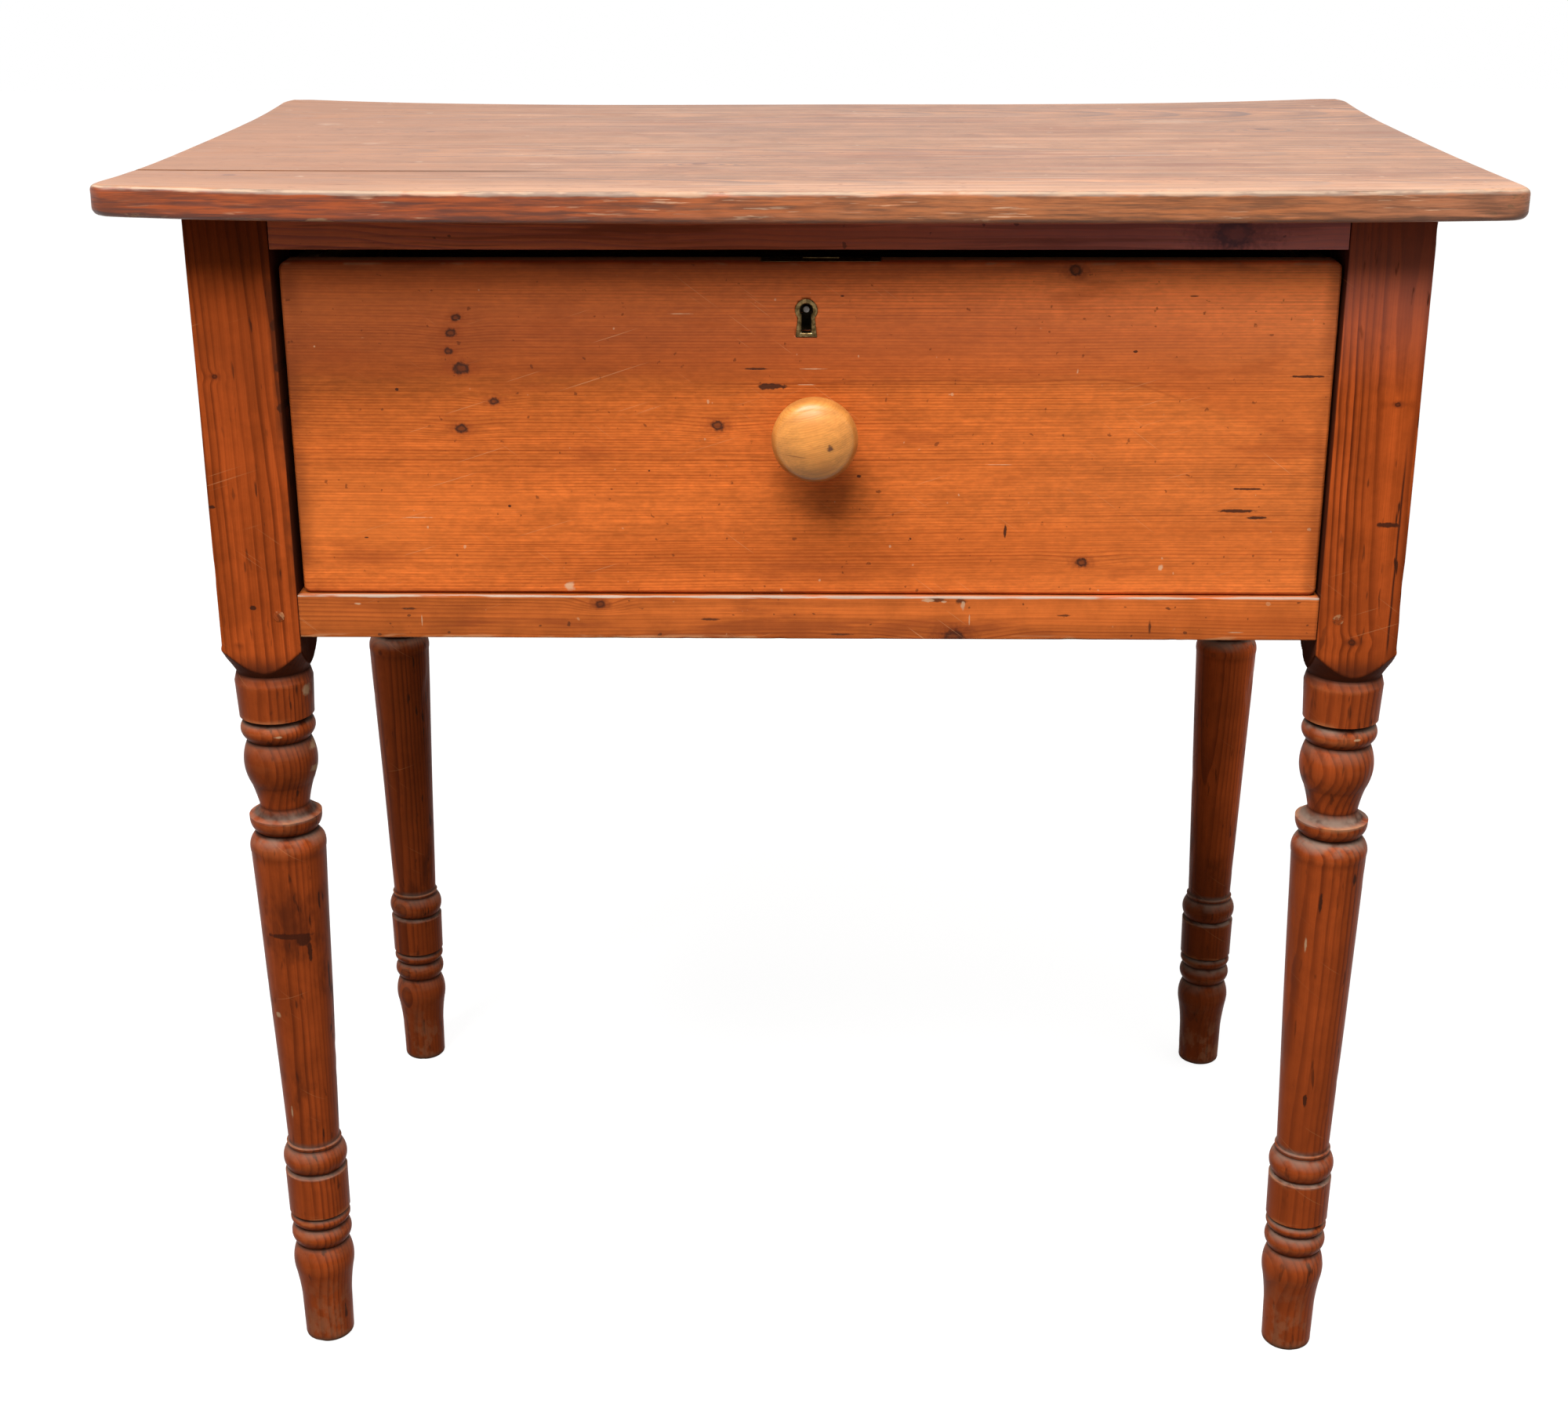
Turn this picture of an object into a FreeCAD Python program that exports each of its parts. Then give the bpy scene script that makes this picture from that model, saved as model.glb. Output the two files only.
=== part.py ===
"""Small pine kitchen table with one drawer, turned legs, a turned knob and a cut drawer lock.

Frame: millimetres, +X to the right, +Y to the back, +Z up, origin on the floor under the
middle of the top. The drawer is modelled shut, with its lock open.
"""
import FreeCAD, Part
import math
import os
from types import SimpleNamespace
import Sketcher

SIZES = {
    # Top: three boards glued edge to edge
    "table_height": 762,
    "top_width": 770,
    "top_depth": 480,
    "top_thickness": 17,
    "top_corner_radius": 12,
    "top_upper_round": 4.5,
    "top_lower_round": 2.5,
    "front_board_share": 0.1875,
    "middle_board_share": 0.40625,
    # Frame under the top
    "front_overhang": 35,
    "side_overhang": 40,
    "rear_overhang": 15,
    "leg_square": 48,
    "leg_arris": 1.2,
    "square_run": 8,
    "apron_height": 245,
    "apron_thickness": 20,
    "apron_setback": 2,
    "upper_rail_thickness": 19,
    "lower_rail_thickness": 26,
    "rail_depth": 45,
    # Joints of the frame
    "tenon_thickness": 10,
    "tenon_length": 22,
    "tenon_height": 85,
    "tenon_shoulder": 15,
    "rail_tenon_shoulder": 3,
    "rail_tenon_spacing": 19,
    "rail_tenon_front": 8,
    "joint_gap": 0.1,
    "mortise_floor": 1,
    "dovetail_length": 20,
    "dovetail_front": 8,
    "dovetail_neck": 26,
    "dovetail_flare": 3,
    "peg_radius": 3.5,
    "peg_setback": 12,
    "rail_peg_stop": 6,
    "apron_peg_length": 24,
    "round_gap": 0.12,
    # What carries the drawer
    "runner_width": 18,
    "runner_thickness": 20,
    "tongue_length": 8,
    "tongue_width": 12,
    "tongue_thickness": 8,
    "guide_height": 20,
    "stop_width": 44,
    "stop_depth": 17,
    "stop_height": 5,
    "stop_inset": 97,
    "running_gap": 0.3,
    # What holds the top
    "block_length": 60,
    "block_leg": 25,
    "block_nose": 6,
    "block_inset": 107,
    "screw_bite": 12,
    "screw_head_radius": 4.2,
    "screw_shank_radius": 2.1,
    "screw_tip": 6,
    "board_screw_share": 0.25,
    "rail_screw_inset": 147,
    # Drawer
    "drawer_gap_left": 3,
    "drawer_gap_right": 1.2,
    "drawer_inset": 4,
    "drawer_rear_gap": 13,
    "drawer_top_gap": 7.5,
    "drawer_front_thickness": 20,
    "drawer_front_corner": 4,
    "drawer_front_round": 2.5,
    "drawer_side_drop": 4,
    "drawer_side_thickness": 12,
    "drawer_back_drop": 8,
    "drawer_back_thickness": 12,
    "drawer_bottom_thickness": 8,
    "bottom_groove_height": 8,
    "bottom_groove_depth": 5,
    "tail_lap": 6,
    "tail_width": 32,
    "tail_splay": 2.3,
    "pin_width": 13,
    "pin_splay": 2,
    "nail_length": 30,
    "nail_radius": 1.1,
    "nail_head_radius": 2.6,
    "nail_head_height": 1.2,
    "nail_inset": 40,
    # Knob
    "knob_offset": 4,
    "knob_lift": 1.5,
    "knob_radius": 24.2,
    "knob_projection": 36,
    "knob_rim_back": 21,
    "knob_rim_front": 27.5,
    "knob_rim_swell": 0.5,
    "knob_rim_slope": 1.4,
    "knob_collar_radius": 14,
    "knob_collar_height": 5,
    "knob_collar_swell": 1.2,
    "knob_neck_radius": 10,
    "knob_neck_height": 9,
    "knob_hollow": 2.2,
    "knob_spigot_radius": 8,
    # Keyhole and its brass lining
    "keyhole_offset": -1,
    "keyhole_drop": 26.5,
    "key_radius": 3.4,
    "key_slot": 2.5,
    "key_drop": 12.3,
    "lining_wall": 2.85,
    "lining_waist_wall": 2.2,
    "lining_foot_wall": 3.45,
    "lining_sill": 2.7,
    "lining_backing": 1.4,
    "lining_proud": 0.4,
    "lining_bevel": 0.9,
    # Lock
    "lock_offset": 7,
    "lock_width": 67,
    "lock_plate_height": 46,
    "lock_plate_thickness": 2,
    "selvedge_depth": 16,
    "case_margin": 9.5,
    "case_foot_margin": 2.5,
    "case_depth": 11,
    "case_wall": 1.5,
    "bolt_prong": 8,
    "bolt_side_gap": 8,
    "bolt_thickness": 4,
    "bolt_head_width": 20,
    "bolt_throw": 12,
    "bolt_fork_gap": 0.6,
    "talon_width": 5,
    "talon_height": 6,
    "bolt_mortise_gap": 1.5,
    "drill_pin_radius": 1.7,
    "drill_pin_setback": 3,
    "tumbler_thickness": 1.6,
    "tumbler_height": 6,
    "tumbler_overlap": 4,
    "tumbler_eye_radius": 4.5,
    "tumbler_pivot_radius": 2,
    "tumbler_pivot_inset": 8,
    "tumbler_pivot_rise": 6.5,
    "pivot_gap": 0.08,
    "lock_screw_length": 11,
    "lock_screw_head_radius": 2.6,
    "lock_screw_shank_radius": 1.3,
    "lock_screw_tip": 3,
    "lock_screw_inset": 4.8,
    "lock_screw_top": 12,
    "lock_screw_spacing": 24,
}

# Lathe work on a leg, from the floor up to the shaft: name, rise above the last point,
# radius, and how far the curve up to the next point swells out (a hollow is negative, and
# a straight edge has None).
FOOT_TURNING = (
    ("toe", 0, 14.6, 0.4),
    ("heel", 2.5, 16.0, None),
    ("ankle", 28.5, 16.5, -0.3),
    ("instep", 20, 18.8, 2.3),
    ("low_bead", 26.8, 17.5, 2.0),
    ("middle_bead", 10.6, 17.8, 1.7),
    ("drum_groove", 8, 18.3, None),
    ("drum_base", 1, 19.7, None),
    ("drum_top", 29.8, 20.1, None),
    ("high_bead", 1.4, 18.6, 2.8),
    ("ring_base", 17.6, 17.6, None),
    ("ring_top", 2.6, 17.8, None),
    ("shaft_base", 0.8, 16.9, None),
)

# The rest of the lathe work, from the square down to the shaft: name, drop below the last
# point, radius, and the swell of the curve that comes down to it.
HEAD_TURNING = (
    ("pommel_foot", 17.4, 22.4, -0.5),
    ("collar_groove", 1.2, 21.8, None),
    ("collar_top", 1.6, 22.5, None),
    ("collar_brow", 4.6, 23.7, None),
    ("collar_base", 22.8, 22.6, None),
    ("ring_bead", 1.6, 20.4, None),
    ("vase_lip", 13.6, 19.8, 2.9),
    ("vase_waist", 29.2, 19.0, 3.3),
    ("vase_neck", 14.4, 15.3, -0.3),
    ("saucer_rim", 6.4, 22.1, -1.5),
    ("saucer_edge", 1.8, 22.1, None),
    ("shoulder", 9, 18.8, 1.0),
    ("shaft_top", 13.9, 23.0, 2.0),
)

TAIL_COUNT = 4
PIN_COUNT = 4
NAIL_COUNT = 5
LEFT = -1
RIGHT = 1
SIDES = {"left": LEFT, "right": RIGHT}
# A little over half the diagonal of a unit square, so that the lathe just misses the corners
CORNER_REACH = 0.72
# Edges closer than this count as lying in one plane
SAME_PLANE = 1e-4

doc = FreeCAD.newDocument("KitchenTable")
sheet = doc.addObject("Spreadsheet::Sheet", "Sizes")
sub_parts = []


class Size:
    """A length that keeps its number together with the sheet expression that drives it."""

    def __init__(self, value, text):
        self.value = float(value)
        self.text = text

    def __add__(self, other):
        other = as_size(other)
        return Size(self.value + other.value, f"({self.text} + {other.text})")

    def __sub__(self, other):
        other = as_size(other)
        return Size(self.value - other.value, f"({self.text} - {other.text})")

    def __mul__(self, other):
        other = as_size(other)
        return Size(self.value * other.value, f"({self.text} * {other.text})")

    def __truediv__(self, other):
        other = as_size(other)
        return Size(self.value / other.value, f"({self.text} / {other.text})")

    def root(self):
        """The square root."""
        return Size(math.sqrt(self.value), f"sqrt({self.text})")

    def __neg__(self):
        return Size(-self.value, f"(0 - {self.text})")


def as_size(number):
    """Let plain counts and signs stand beside sizes in a sum."""
    if isinstance(number, Size):
        return number
    return Size(number, f"({number})")


ZERO = as_size(0)
DOME = "dome"


def fill_sheet():
    """Write every driving dimension to the sheet and hand them back by name."""
    cells = dict(SIZES)
    for step_word, rows in (("rise", FOOT_TURNING), ("drop", HEAD_TURNING)):
        for name, step, radius, swell in rows:
            cells[f"{name}_{step_word}"] = step
            cells[f"{name}_radius"] = radius
            if swell is not None:
                cells[f"{name}_swell"] = swell
    for row, (name, number) in enumerate(cells.items(), start=1):
        sheet.set(f"A{row}", name)
        sheet.set(f"B{row}", str(number))
        sheet.setAlias(f"B{row}", name)
    doc.recompute()
    return SimpleNamespace(**{name: Size(sheet.get(name), f"Sizes.{name}") for name in cells})


s = fill_sheet()

# Places that several pieces share
top_front = -s.top_depth / 2
first_joint = top_front + s.top_depth * s.front_board_share
second_joint = first_joint + s.top_depth * s.middle_board_share
front = top_front + s.front_overhang
back = s.top_depth / 2 - s.rear_overhang
half_frame = s.top_width / 2 - s.side_overhang
inner_leg = half_frame - s.leg_square
underside = s.table_height - s.top_thickness
apron_bottom = underside - s.apron_height
apron_inner = half_frame - s.apron_setback - s.apron_thickness
front_leg_back = front + s.leg_square
rear_leg_front = back - s.leg_square
back_apron_rear = back - s.apron_setback
back_apron_inner = back_apron_rear - s.apron_thickness
rail_back = front + s.rail_depth
upper_rail_low = underside - s.upper_rail_thickness
lower_rail_top = apron_bottom + s.lower_rail_thickness

drawer_left = s.drawer_gap_left - inner_leg
drawer_right = inner_leg - s.drawer_gap_right
drawer_middle = (drawer_left + drawer_right) / 2
drawer_face = front + s.drawer_inset
drawer_inner = drawer_face + s.drawer_front_thickness
drawer_rear = back_apron_inner - s.drawer_rear_gap
drawer_low = lower_rail_top + s.running_gap
drawer_top = upper_rail_low - s.drawer_top_gap
side_top = drawer_top - s.drawer_side_drop
back_board_top = side_top - s.drawer_back_drop
knob_x = drawer_middle + s.knob_offset
knob_z = (drawer_low + drawer_top) / 2 + s.knob_lift
bottom_low = drawer_low + s.bottom_groove_height
bottom_top = bottom_low + s.drawer_bottom_thickness
back_board_front = drawer_rear - s.drawer_back_thickness
left_inner = drawer_left + s.drawer_side_thickness
right_inner = drawer_right - s.drawer_side_thickness

key_x = drawer_middle + s.keyhole_offset
key_z = drawer_top - s.keyhole_drop
lining_waist = s.key_slot + s.lining_waist_wall
lining_rim = drawer_face - s.lining_proud
lock_x = drawer_middle + s.lock_offset
plate_front = drawer_inner - s.lock_plate_thickness
case_front = plate_front - s.case_depth
case_low = drawer_top - s.lock_plate_height + s.case_foot_margin
half_case = s.lock_width / 2 - s.case_margin
lining_rear = case_front - s.lining_backing
selvedge_low = drawer_top - s.lock_plate_thickness
bolt_back = plate_front - s.running_gap
bolt_front = bolt_back - s.bolt_thickness
bolt_low = case_low + s.case_wall + s.running_gap
bolt_head_low = selvedge_low - s.bolt_throw - s.running_gap
bolt_top = drawer_top - s.running_gap

# A cylinder or a screw is made standing up, then turned to point this way
TURNS = {
    "up": FreeCAD.Rotation(),
    "forward": FreeCAD.Rotation(FreeCAD.Vector(1, 0, 0), 90),
    "left": FreeCAD.Rotation(FreeCAD.Vector(0, 1, 0), -90),
    "right": FreeCAD.Rotation(FreeCAD.Vector(0, 1, 0), 90),
}


def bind(thing, **lengths):
    """Tie properties of an object to sheet expressions."""
    for name, length in lengths.items():
        thing.setExpression(name, as_size(length).text)


def place(thing, spot, direction="up"):
    """Put an object at a spot and turn it to point in a direction."""
    thing.Placement.Rotation = TURNS[direction]
    for axis, length in zip("xyz", spot):
        thing.setExpression(f"Placement.Base.{axis}", as_size(length).text)


def across(side, near, far):
    """The low and high X of a span that lies near to far from the middle, on one side."""
    if side == RIGHT:
        return near, far
    return -far, -near


def block(name, low, high):
    """A squared piece between two opposite corners."""
    box = doc.addObject("Part::Box", name)
    lengths = [as_size(end) - as_size(start) for start, end in zip(low, high)]
    bind(box, Length=lengths[0], Width=lengths[1], Height=lengths[2])
    place(box, low)
    return box


def rod(name, spot, direction, radius, length):
    """A round piece that starts at a spot."""
    cylinder = doc.addObject("Part::Cylinder", name)
    bind(cylinder, Radius=radius, Height=length)
    place(cylinder, spot, direction)
    return cylinder


def wedge(name, low_x, high_x, start_y, end_y, start_z, end_z):
    """A piece whose Z span changes evenly from its front end to its rear end."""
    piece = doc.addObject("Part::Wedge", name)
    bind(piece, Xmin=low_x, Xmax=high_x, X2min=low_x, X2max=high_x, Ymin=start_y, Ymax=end_y)
    bind(piece, Zmin=start_z[0], Zmax=start_z[1], Z2min=end_z[0], Z2max=end_z[1])
    return piece


def fuse(name, shapes):
    """Join shapes into one solid."""
    joined = doc.addObject("Part::MultiFuse", name)
    joined.Shapes = shapes
    joined.Refine = True
    return joined


def cut(name, base, tools):
    """Take tools away from a base."""
    result = doc.addObject("Part::Cut", name)
    result.Base = base
    result.Tool = tools[0] if len(tools) == 1 else fuse(f"{name}_tools", tools)
    return result


def group(name, shapes):
    """Keep loose fasteners of one kind together."""
    compound = doc.addObject("Part::Compound", name)
    compound.Links = shapes
    return compound


def keep(thing, node):
    """Name a finished piece."""
    thing.Label = node
    sub_parts.append(thing)


def new_sketch(body, name, role, offset=ZERO):
    """A sketch on one of a body's own origin planes, moved along the plane's normal."""
    sketch = body.newObject("Sketcher::SketchObject", name)
    plane = next(part for part in body.Origin.OriginFeatures if part.Role == role)
    sketch.AttachmentSupport = (plane, [""])
    sketch.MapMode = "FlatFace"
    bind(sketch, **{"AttachmentOffset.Base.z": offset})
    return sketch


def hold(sketch, kind, places, length):
    """Add one dimension to a sketch and tie it to the sheet."""
    index = sketch.addConstraint(Sketcher.Constraint(kind, *places, length.value))
    sketch.setExpression(f"Constraints[{index}]", length.text)


def outline(sketch, corners):
    """Draw a closed outline of corners (across, up, swell) with lines and arcs between them.

    The swell is how far the edge to the next corner bows out to the right of its chord. A
    DOME is an arc that ends on the upright axis and has its centre there.
    """
    edges = []
    following = corners[1:] + corners[:1]
    for (x, y, swell), (next_x, next_y, _) in zip(corners, following):
        start = FreeCAD.Vector(x.value, y.value, 0)
        end = FreeCAD.Vector(next_x.value, next_y.value, 0)
        chord = end - start
        if swell is DOME:
            bow = dome_bow(chord)
        else:
            bow = swell.value
        crown = (start + end) / 2 + FreeCAD.Vector(chord.y, -chord.x, 0).normalize() * bow
        if bow == 0:
            edges.append((sketch.addGeometry(Part.LineSegment(start, end)), 1, 2))
        elif bow > 0:
            edges.append((sketch.addGeometry(Part.Arc(start, crown, end)), 1, 2))
        else:
            edges.append((sketch.addGeometry(Part.Arc(end, crown, start)), 2, 1))
    for (index, _, last), (after, first, _) in zip(edges, edges[1:] + edges[:1]):
        sketch.addConstraint(Sketcher.Constraint("Coincident", index, last, after, first))
    for (index, first, _), (x, y, swell), (next_x, next_y, _) in zip(edges, corners, following):
        hold(sketch, "DistanceX", (-1, 1, index, first), x)
        hold(sketch, "DistanceY", (-1, 1, index, first), y)
        if swell is DOME:
            sketch.addConstraint(Sketcher.Constraint("PointOnObject", index, 3, -2))
        elif swell.value != 0:
            chord_square = (next_x - x) * (next_x - x) + (next_y - y) * (next_y - y)
            bow = swell if swell.value > 0 else -swell
            hold(sketch, "Radius", (index,), (chord_square / 4 + bow * bow) / (bow * 2))


def dome_bow(chord):
    """How far an arc bows out over a chord that climbs to the crown of a dome on the axis."""
    rise = chord.y
    radius = chord.Length ** 2 / (2 * rise)
    return radius - math.sqrt(radius ** 2 - chord.Length ** 2 / 4)


def pad(name, role, offset, corners, length):
    """A body padded from an outline, along the normal of its plane."""
    body = doc.addObject("PartDesign::Body", name)
    sketch = new_sketch(body, f"{name}_outline", role, offset)
    outline(sketch, corners)
    feature = body.newObject("PartDesign::Pad", f"{name}_pad")
    feature.Profile = sketch
    bind(feature, Length=length)
    doc.recompute()
    return body


def round_edges(body, name, kind, size, chosen):
    """Fillet or chamfer the edges of a body's tip that a test picks out."""
    tip = body.Tip
    names = [f"Edge{number}" for number, edge in enumerate(tip.Shape.Edges, start=1) if chosen(edge)]
    feature = body.newObject(f"PartDesign::{kind}", name)
    feature.Base = (tip, names)
    bind(feature, **{"Radius" if kind == "Fillet" else "Size": size})
    doc.recompute()


def lies_at(edge, axis, length):
    """True where an edge lies flat in a plane across one axis."""
    box = edge.BoundBox
    low = getattr(box, f"{axis}Min")
    high = getattr(box, f"{axis}Max")
    return abs(low - length.value) < SAME_PLANE and abs(high - length.value) < SAME_PLANE


def runs_along(edge, axis):
    """True where an edge runs straight along one axis."""
    box = edge.BoundBox
    across_lengths = [getattr(box, f"{other}Length") for other in "XYZ" if other != axis]
    return getattr(box, f"{axis}Length") > SAME_PLANE and max(across_lengths) < SAME_PLANE


def rectangle(low, high):
    """Corners of a plain rectangle, for an outline."""
    (left, bottom), (right, top) = low, high
    return [(left, bottom, ZERO), (right, bottom, ZERO), (right, top, ZERO), (left, top, ZERO)]


def screw(name, spot, direction, length, head_radius, shank_radius, tip, gap=ZERO):
    """A countersunk wood screw with its head at the spot, or its hole with a gap all round."""
    head = doc.addObject("Part::Cone", f"{name}_head")
    head_height = head_radius - shank_radius
    bind(head, Radius1=head_radius + gap, Radius2=shank_radius + gap, Height=head_height)
    shank = doc.addObject("Part::Cylinder", f"{name}_shank")
    bind(shank, Radius=shank_radius + gap, Height=length - tip)
    point = doc.addObject("Part::Cone", f"{name}_point")
    bind(point, Radius1=shank_radius + gap, Radius2=gap, Height=tip + gap)
    bind(point, **{"Placement.Base.z": length - tip})
    whole = fuse(name, [head, shank, point])
    place(whole, spot, direction)
    return whole


def nail(name, spot, gap=ZERO):
    """A flat headed nail driven upwards, or its hole with a gap all round."""
    head = rod(f"{name}_head", (ZERO, ZERO, ZERO), "up", s.nail_head_radius + gap,
               s.nail_head_height + gap)
    shank = rod(f"{name}_shank", (ZERO, ZERO, ZERO), "up", s.nail_radius + gap, s.nail_length + gap)
    whole = fuse(name, [head, shank])
    place(whole, spot)
    return whole


# Fasteners of the frame: their places are needed by the pieces that they pass through

def screw_places():
    """Heads of the screws that hold the top: three in each kicker and two in the upper rail."""
    places = []
    kicker_x = (inner_leg - s.runner_width + apron_inner) / 2
    middle_inset = (second_joint - first_joint) * s.board_screw_share
    rear_inset = (s.top_depth / 2 - second_joint) * s.board_screw_share
    rows = {
        "front": first_joint + middle_inset,
        "middle": second_joint - middle_inset,
        "rear": second_joint + rear_inset,
    }
    rail_x = inner_leg - s.rail_screw_inset
    rail_y = front + s.rail_depth / 2
    for side_name, side in SIDES.items():
        for row, y in rows.items():
            places.append((f"{side_name}_{row}_screw", (kicker_x * side, y, upper_rail_low)))
        places.append((f"{side_name}_rail_screw", (rail_x * side, rail_y, upper_rail_low)))
    return places


def top_screw(name, spot, gap=ZERO):
    """One screw up into the top, or its hole."""
    return screw(name, spot, "up", s.upper_rail_thickness + s.screw_bite, s.screw_head_radius,
                 s.screw_shank_radius, s.screw_tip, gap)


def tenon_levels():
    """Low ends of the two tenons at each end of an apron."""
    return {
        "lower": apron_bottom + s.tenon_shoulder,
        "upper": underside - s.tenon_shoulder - s.tenon_height,
    }


def peg_places():
    """Every drawbore peg: name, where it starts, which way it runs and how long it is."""
    places = []
    rail_level = apron_bottom + s.lower_rail_thickness / 2
    rail_peg_length = s.leg_square - s.rail_peg_stop
    for side_name, side in SIDES.items():
        inward = "left" if side == RIGHT else "right"
        rail_spot = ((inner_leg + s.peg_setback) * side, front + rail_peg_length, rail_level)
        places.append((f"{side_name}_rail_peg", rail_spot, "forward", rail_peg_length))
        for level_name, low in tenon_levels().items():
            level = low + s.tenon_height / 2
            for end_name, y in (("front", front_leg_back - s.peg_setback),
                                ("rear", rear_leg_front + s.peg_setback)):
                spot = (half_frame * side, y, level)
                places.append((f"{side_name}_{end_name}_{level_name}_peg", spot, inward, s.apron_peg_length))
            spot = ((inner_leg + s.peg_setback) * side, back, level)
            places.append((f"{side_name}_back_{level_name}_peg", spot, "forward", s.apron_peg_length))
    return places


def pegs(name, gap=ZERO, picked=""):
    """The pegs, or with a gap the holes for those whose names hold the picked word."""
    return [rod(f"{name}_{peg}", spot, way, s.peg_radius + gap, length)
            for peg, spot, way, length in peg_places() if picked in peg]


# Frame joints: each tenon and, with a gap, the mortise that takes it

def side_tenons(name, side, end_y, way, gap=ZERO, floor=ZERO):
    """Tenons of a side apron at one end, which point to the front or to the back."""
    middle = half_frame - s.apron_setback - s.apron_thickness / 2
    low_x, high_x = across(side, middle - s.tenon_thickness / 2 - gap, middle + s.tenon_thickness / 2 + gap)
    reach = end_y + (s.tenon_length + floor) * way
    low_y, high_y = (end_y, reach) if way > 0 else (reach, end_y)
    return [block(f"{name}_{level}", (low_x, low_y, low - gap),
                  (high_x, high_y, low + s.tenon_height + gap))
            for level, low in tenon_levels().items()]


def back_tenons(name, side, gap=ZERO, floor=ZERO):
    """Tenons of the back apron at one end."""
    middle = back_apron_rear - s.apron_thickness / 2
    low_x, high_x = across(side, inner_leg, inner_leg + s.tenon_length + floor)
    return [block(f"{name}_{level}", (low_x, middle - s.tenon_thickness / 2 - gap, low - gap),
                  (high_x, middle + s.tenon_thickness / 2 + gap, low + s.tenon_height + gap))
            for level, low in tenon_levels().items()]


def rail_tenons(name, side, gap=ZERO, floor=ZERO):
    """The pair of tenons at one end of the lower rail."""
    low_x, high_x = across(side, inner_leg, inner_leg + s.tenon_length + floor)
    low_z = apron_bottom + s.rail_tenon_shoulder - gap
    high_z = lower_rail_top - s.rail_tenon_shoulder + gap
    first_y = front + s.rail_tenon_front
    return [block(f"{name}_{number}", (low_x, start - gap, low_z),
                  (high_x, start + s.tenon_thickness + gap, high_z))
            for number, start in enumerate((first_y, first_y + s.rail_tenon_spacing), start=1)]


def dovetail_points(side, gap=ZERO):
    """The flared end of the upper rail, seen from above, from its front corner round."""
    neck_front = front + s.dovetail_front
    neck_back = neck_front + s.dovetail_neck
    tip = (inner_leg + s.dovetail_length + gap) * side
    root = inner_leg * side
    return [(root, neck_front - gap, ZERO), (tip, neck_front - s.dovetail_flare - gap, ZERO),
            (tip, neck_back + s.dovetail_flare + gap, ZERO), (root, neck_back + gap, ZERO)]


# Top

def make_top():
    """A slab with rounded corners and edges, ripped into three boards."""
    half_width = s.top_width / 2
    slab = pad("top_slab", "XY_Plane", underside,
               rectangle((-half_width, top_front), (half_width, -top_front)), s.top_thickness)
    round_edges(slab, "top_corners", "Fillet", s.top_corner_radius, lambda edge: runs_along(edge, "Z"))
    round_edges(slab, "top_upper_edge", "Fillet", s.top_upper_round,
                lambda edge: lies_at(edge, "Z", s.table_height))
    round_edges(slab, "top_lower_edge", "Fillet", s.top_lower_round,
                lambda edge: lies_at(edge, "Z", underside))
    margin = s.top_depth
    strips = (
        ("top_front_board", top_front - margin, first_joint),
        ("top_middle_board", first_joint, second_joint),
        ("top_rear_board", second_joint, margin),
    )
    for node, low_y, high_y in strips:
        strip = block(f"{node}_strip", (-s.top_width, low_y, ZERO),
                      (s.top_width, high_y, s.table_height + s.top_thickness))
        board = doc.addObject("Part::Common", f"{node}_board")
        board.Base = slab
        board.Tool = strip
        holes = [top_screw(f"{node}_{name}_hole", spot, s.round_gap) for name, spot in screw_places()
                 if low_y.value < spot[1].value < high_y.value]
        keep(cut(node, board, holes), node)


# Legs

def turning(rows, step_word, height, sign):
    """Points of a leg's outline, from a height up or down: radius, height, swell."""
    points = []
    for name, *_ in rows:
        height = height + getattr(s, f"{name}_{step_word}") * sign
        points.append((getattr(s, f"{name}_radius"), height, getattr(s, f"{name}_swell", ZERO)))
    return points


def turned_leg(name, x, y):
    """A square leg, turned below the aprons on a lathe."""
    half = s.leg_square / 2
    body = pad(name, "XY_Plane", ZERO, rectangle((-half, -half), (half, half)), underside)
    round_edges(body, f"{name}_arris", "Fillet", s.leg_arris, lambda edge: runs_along(edge, "Z"))
    square_low = apron_bottom - s.square_run
    profile = turning(FOOT_TURNING, "rise", ZERO, 1)
    profile += reversed(turning(HEAD_TURNING, "drop", square_low, -1))
    reach = s.leg_square
    waste = profile + [
        (s.leg_square * CORNER_REACH, square_low, ZERO),
        (reach, square_low, ZERO),
        (reach, ZERO, ZERO),
    ]
    sketch = new_sketch(body, f"{name}_turning", "XZ_Plane")
    outline(sketch, waste)
    groove = body.newObject("PartDesign::Groove", f"{name}_groove")
    groove.Profile = sketch
    groove.ReferenceAxis = (sketch, ["V_Axis"])
    place(body, (x, y, ZERO))
    doc.recompute()
    return body


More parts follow.
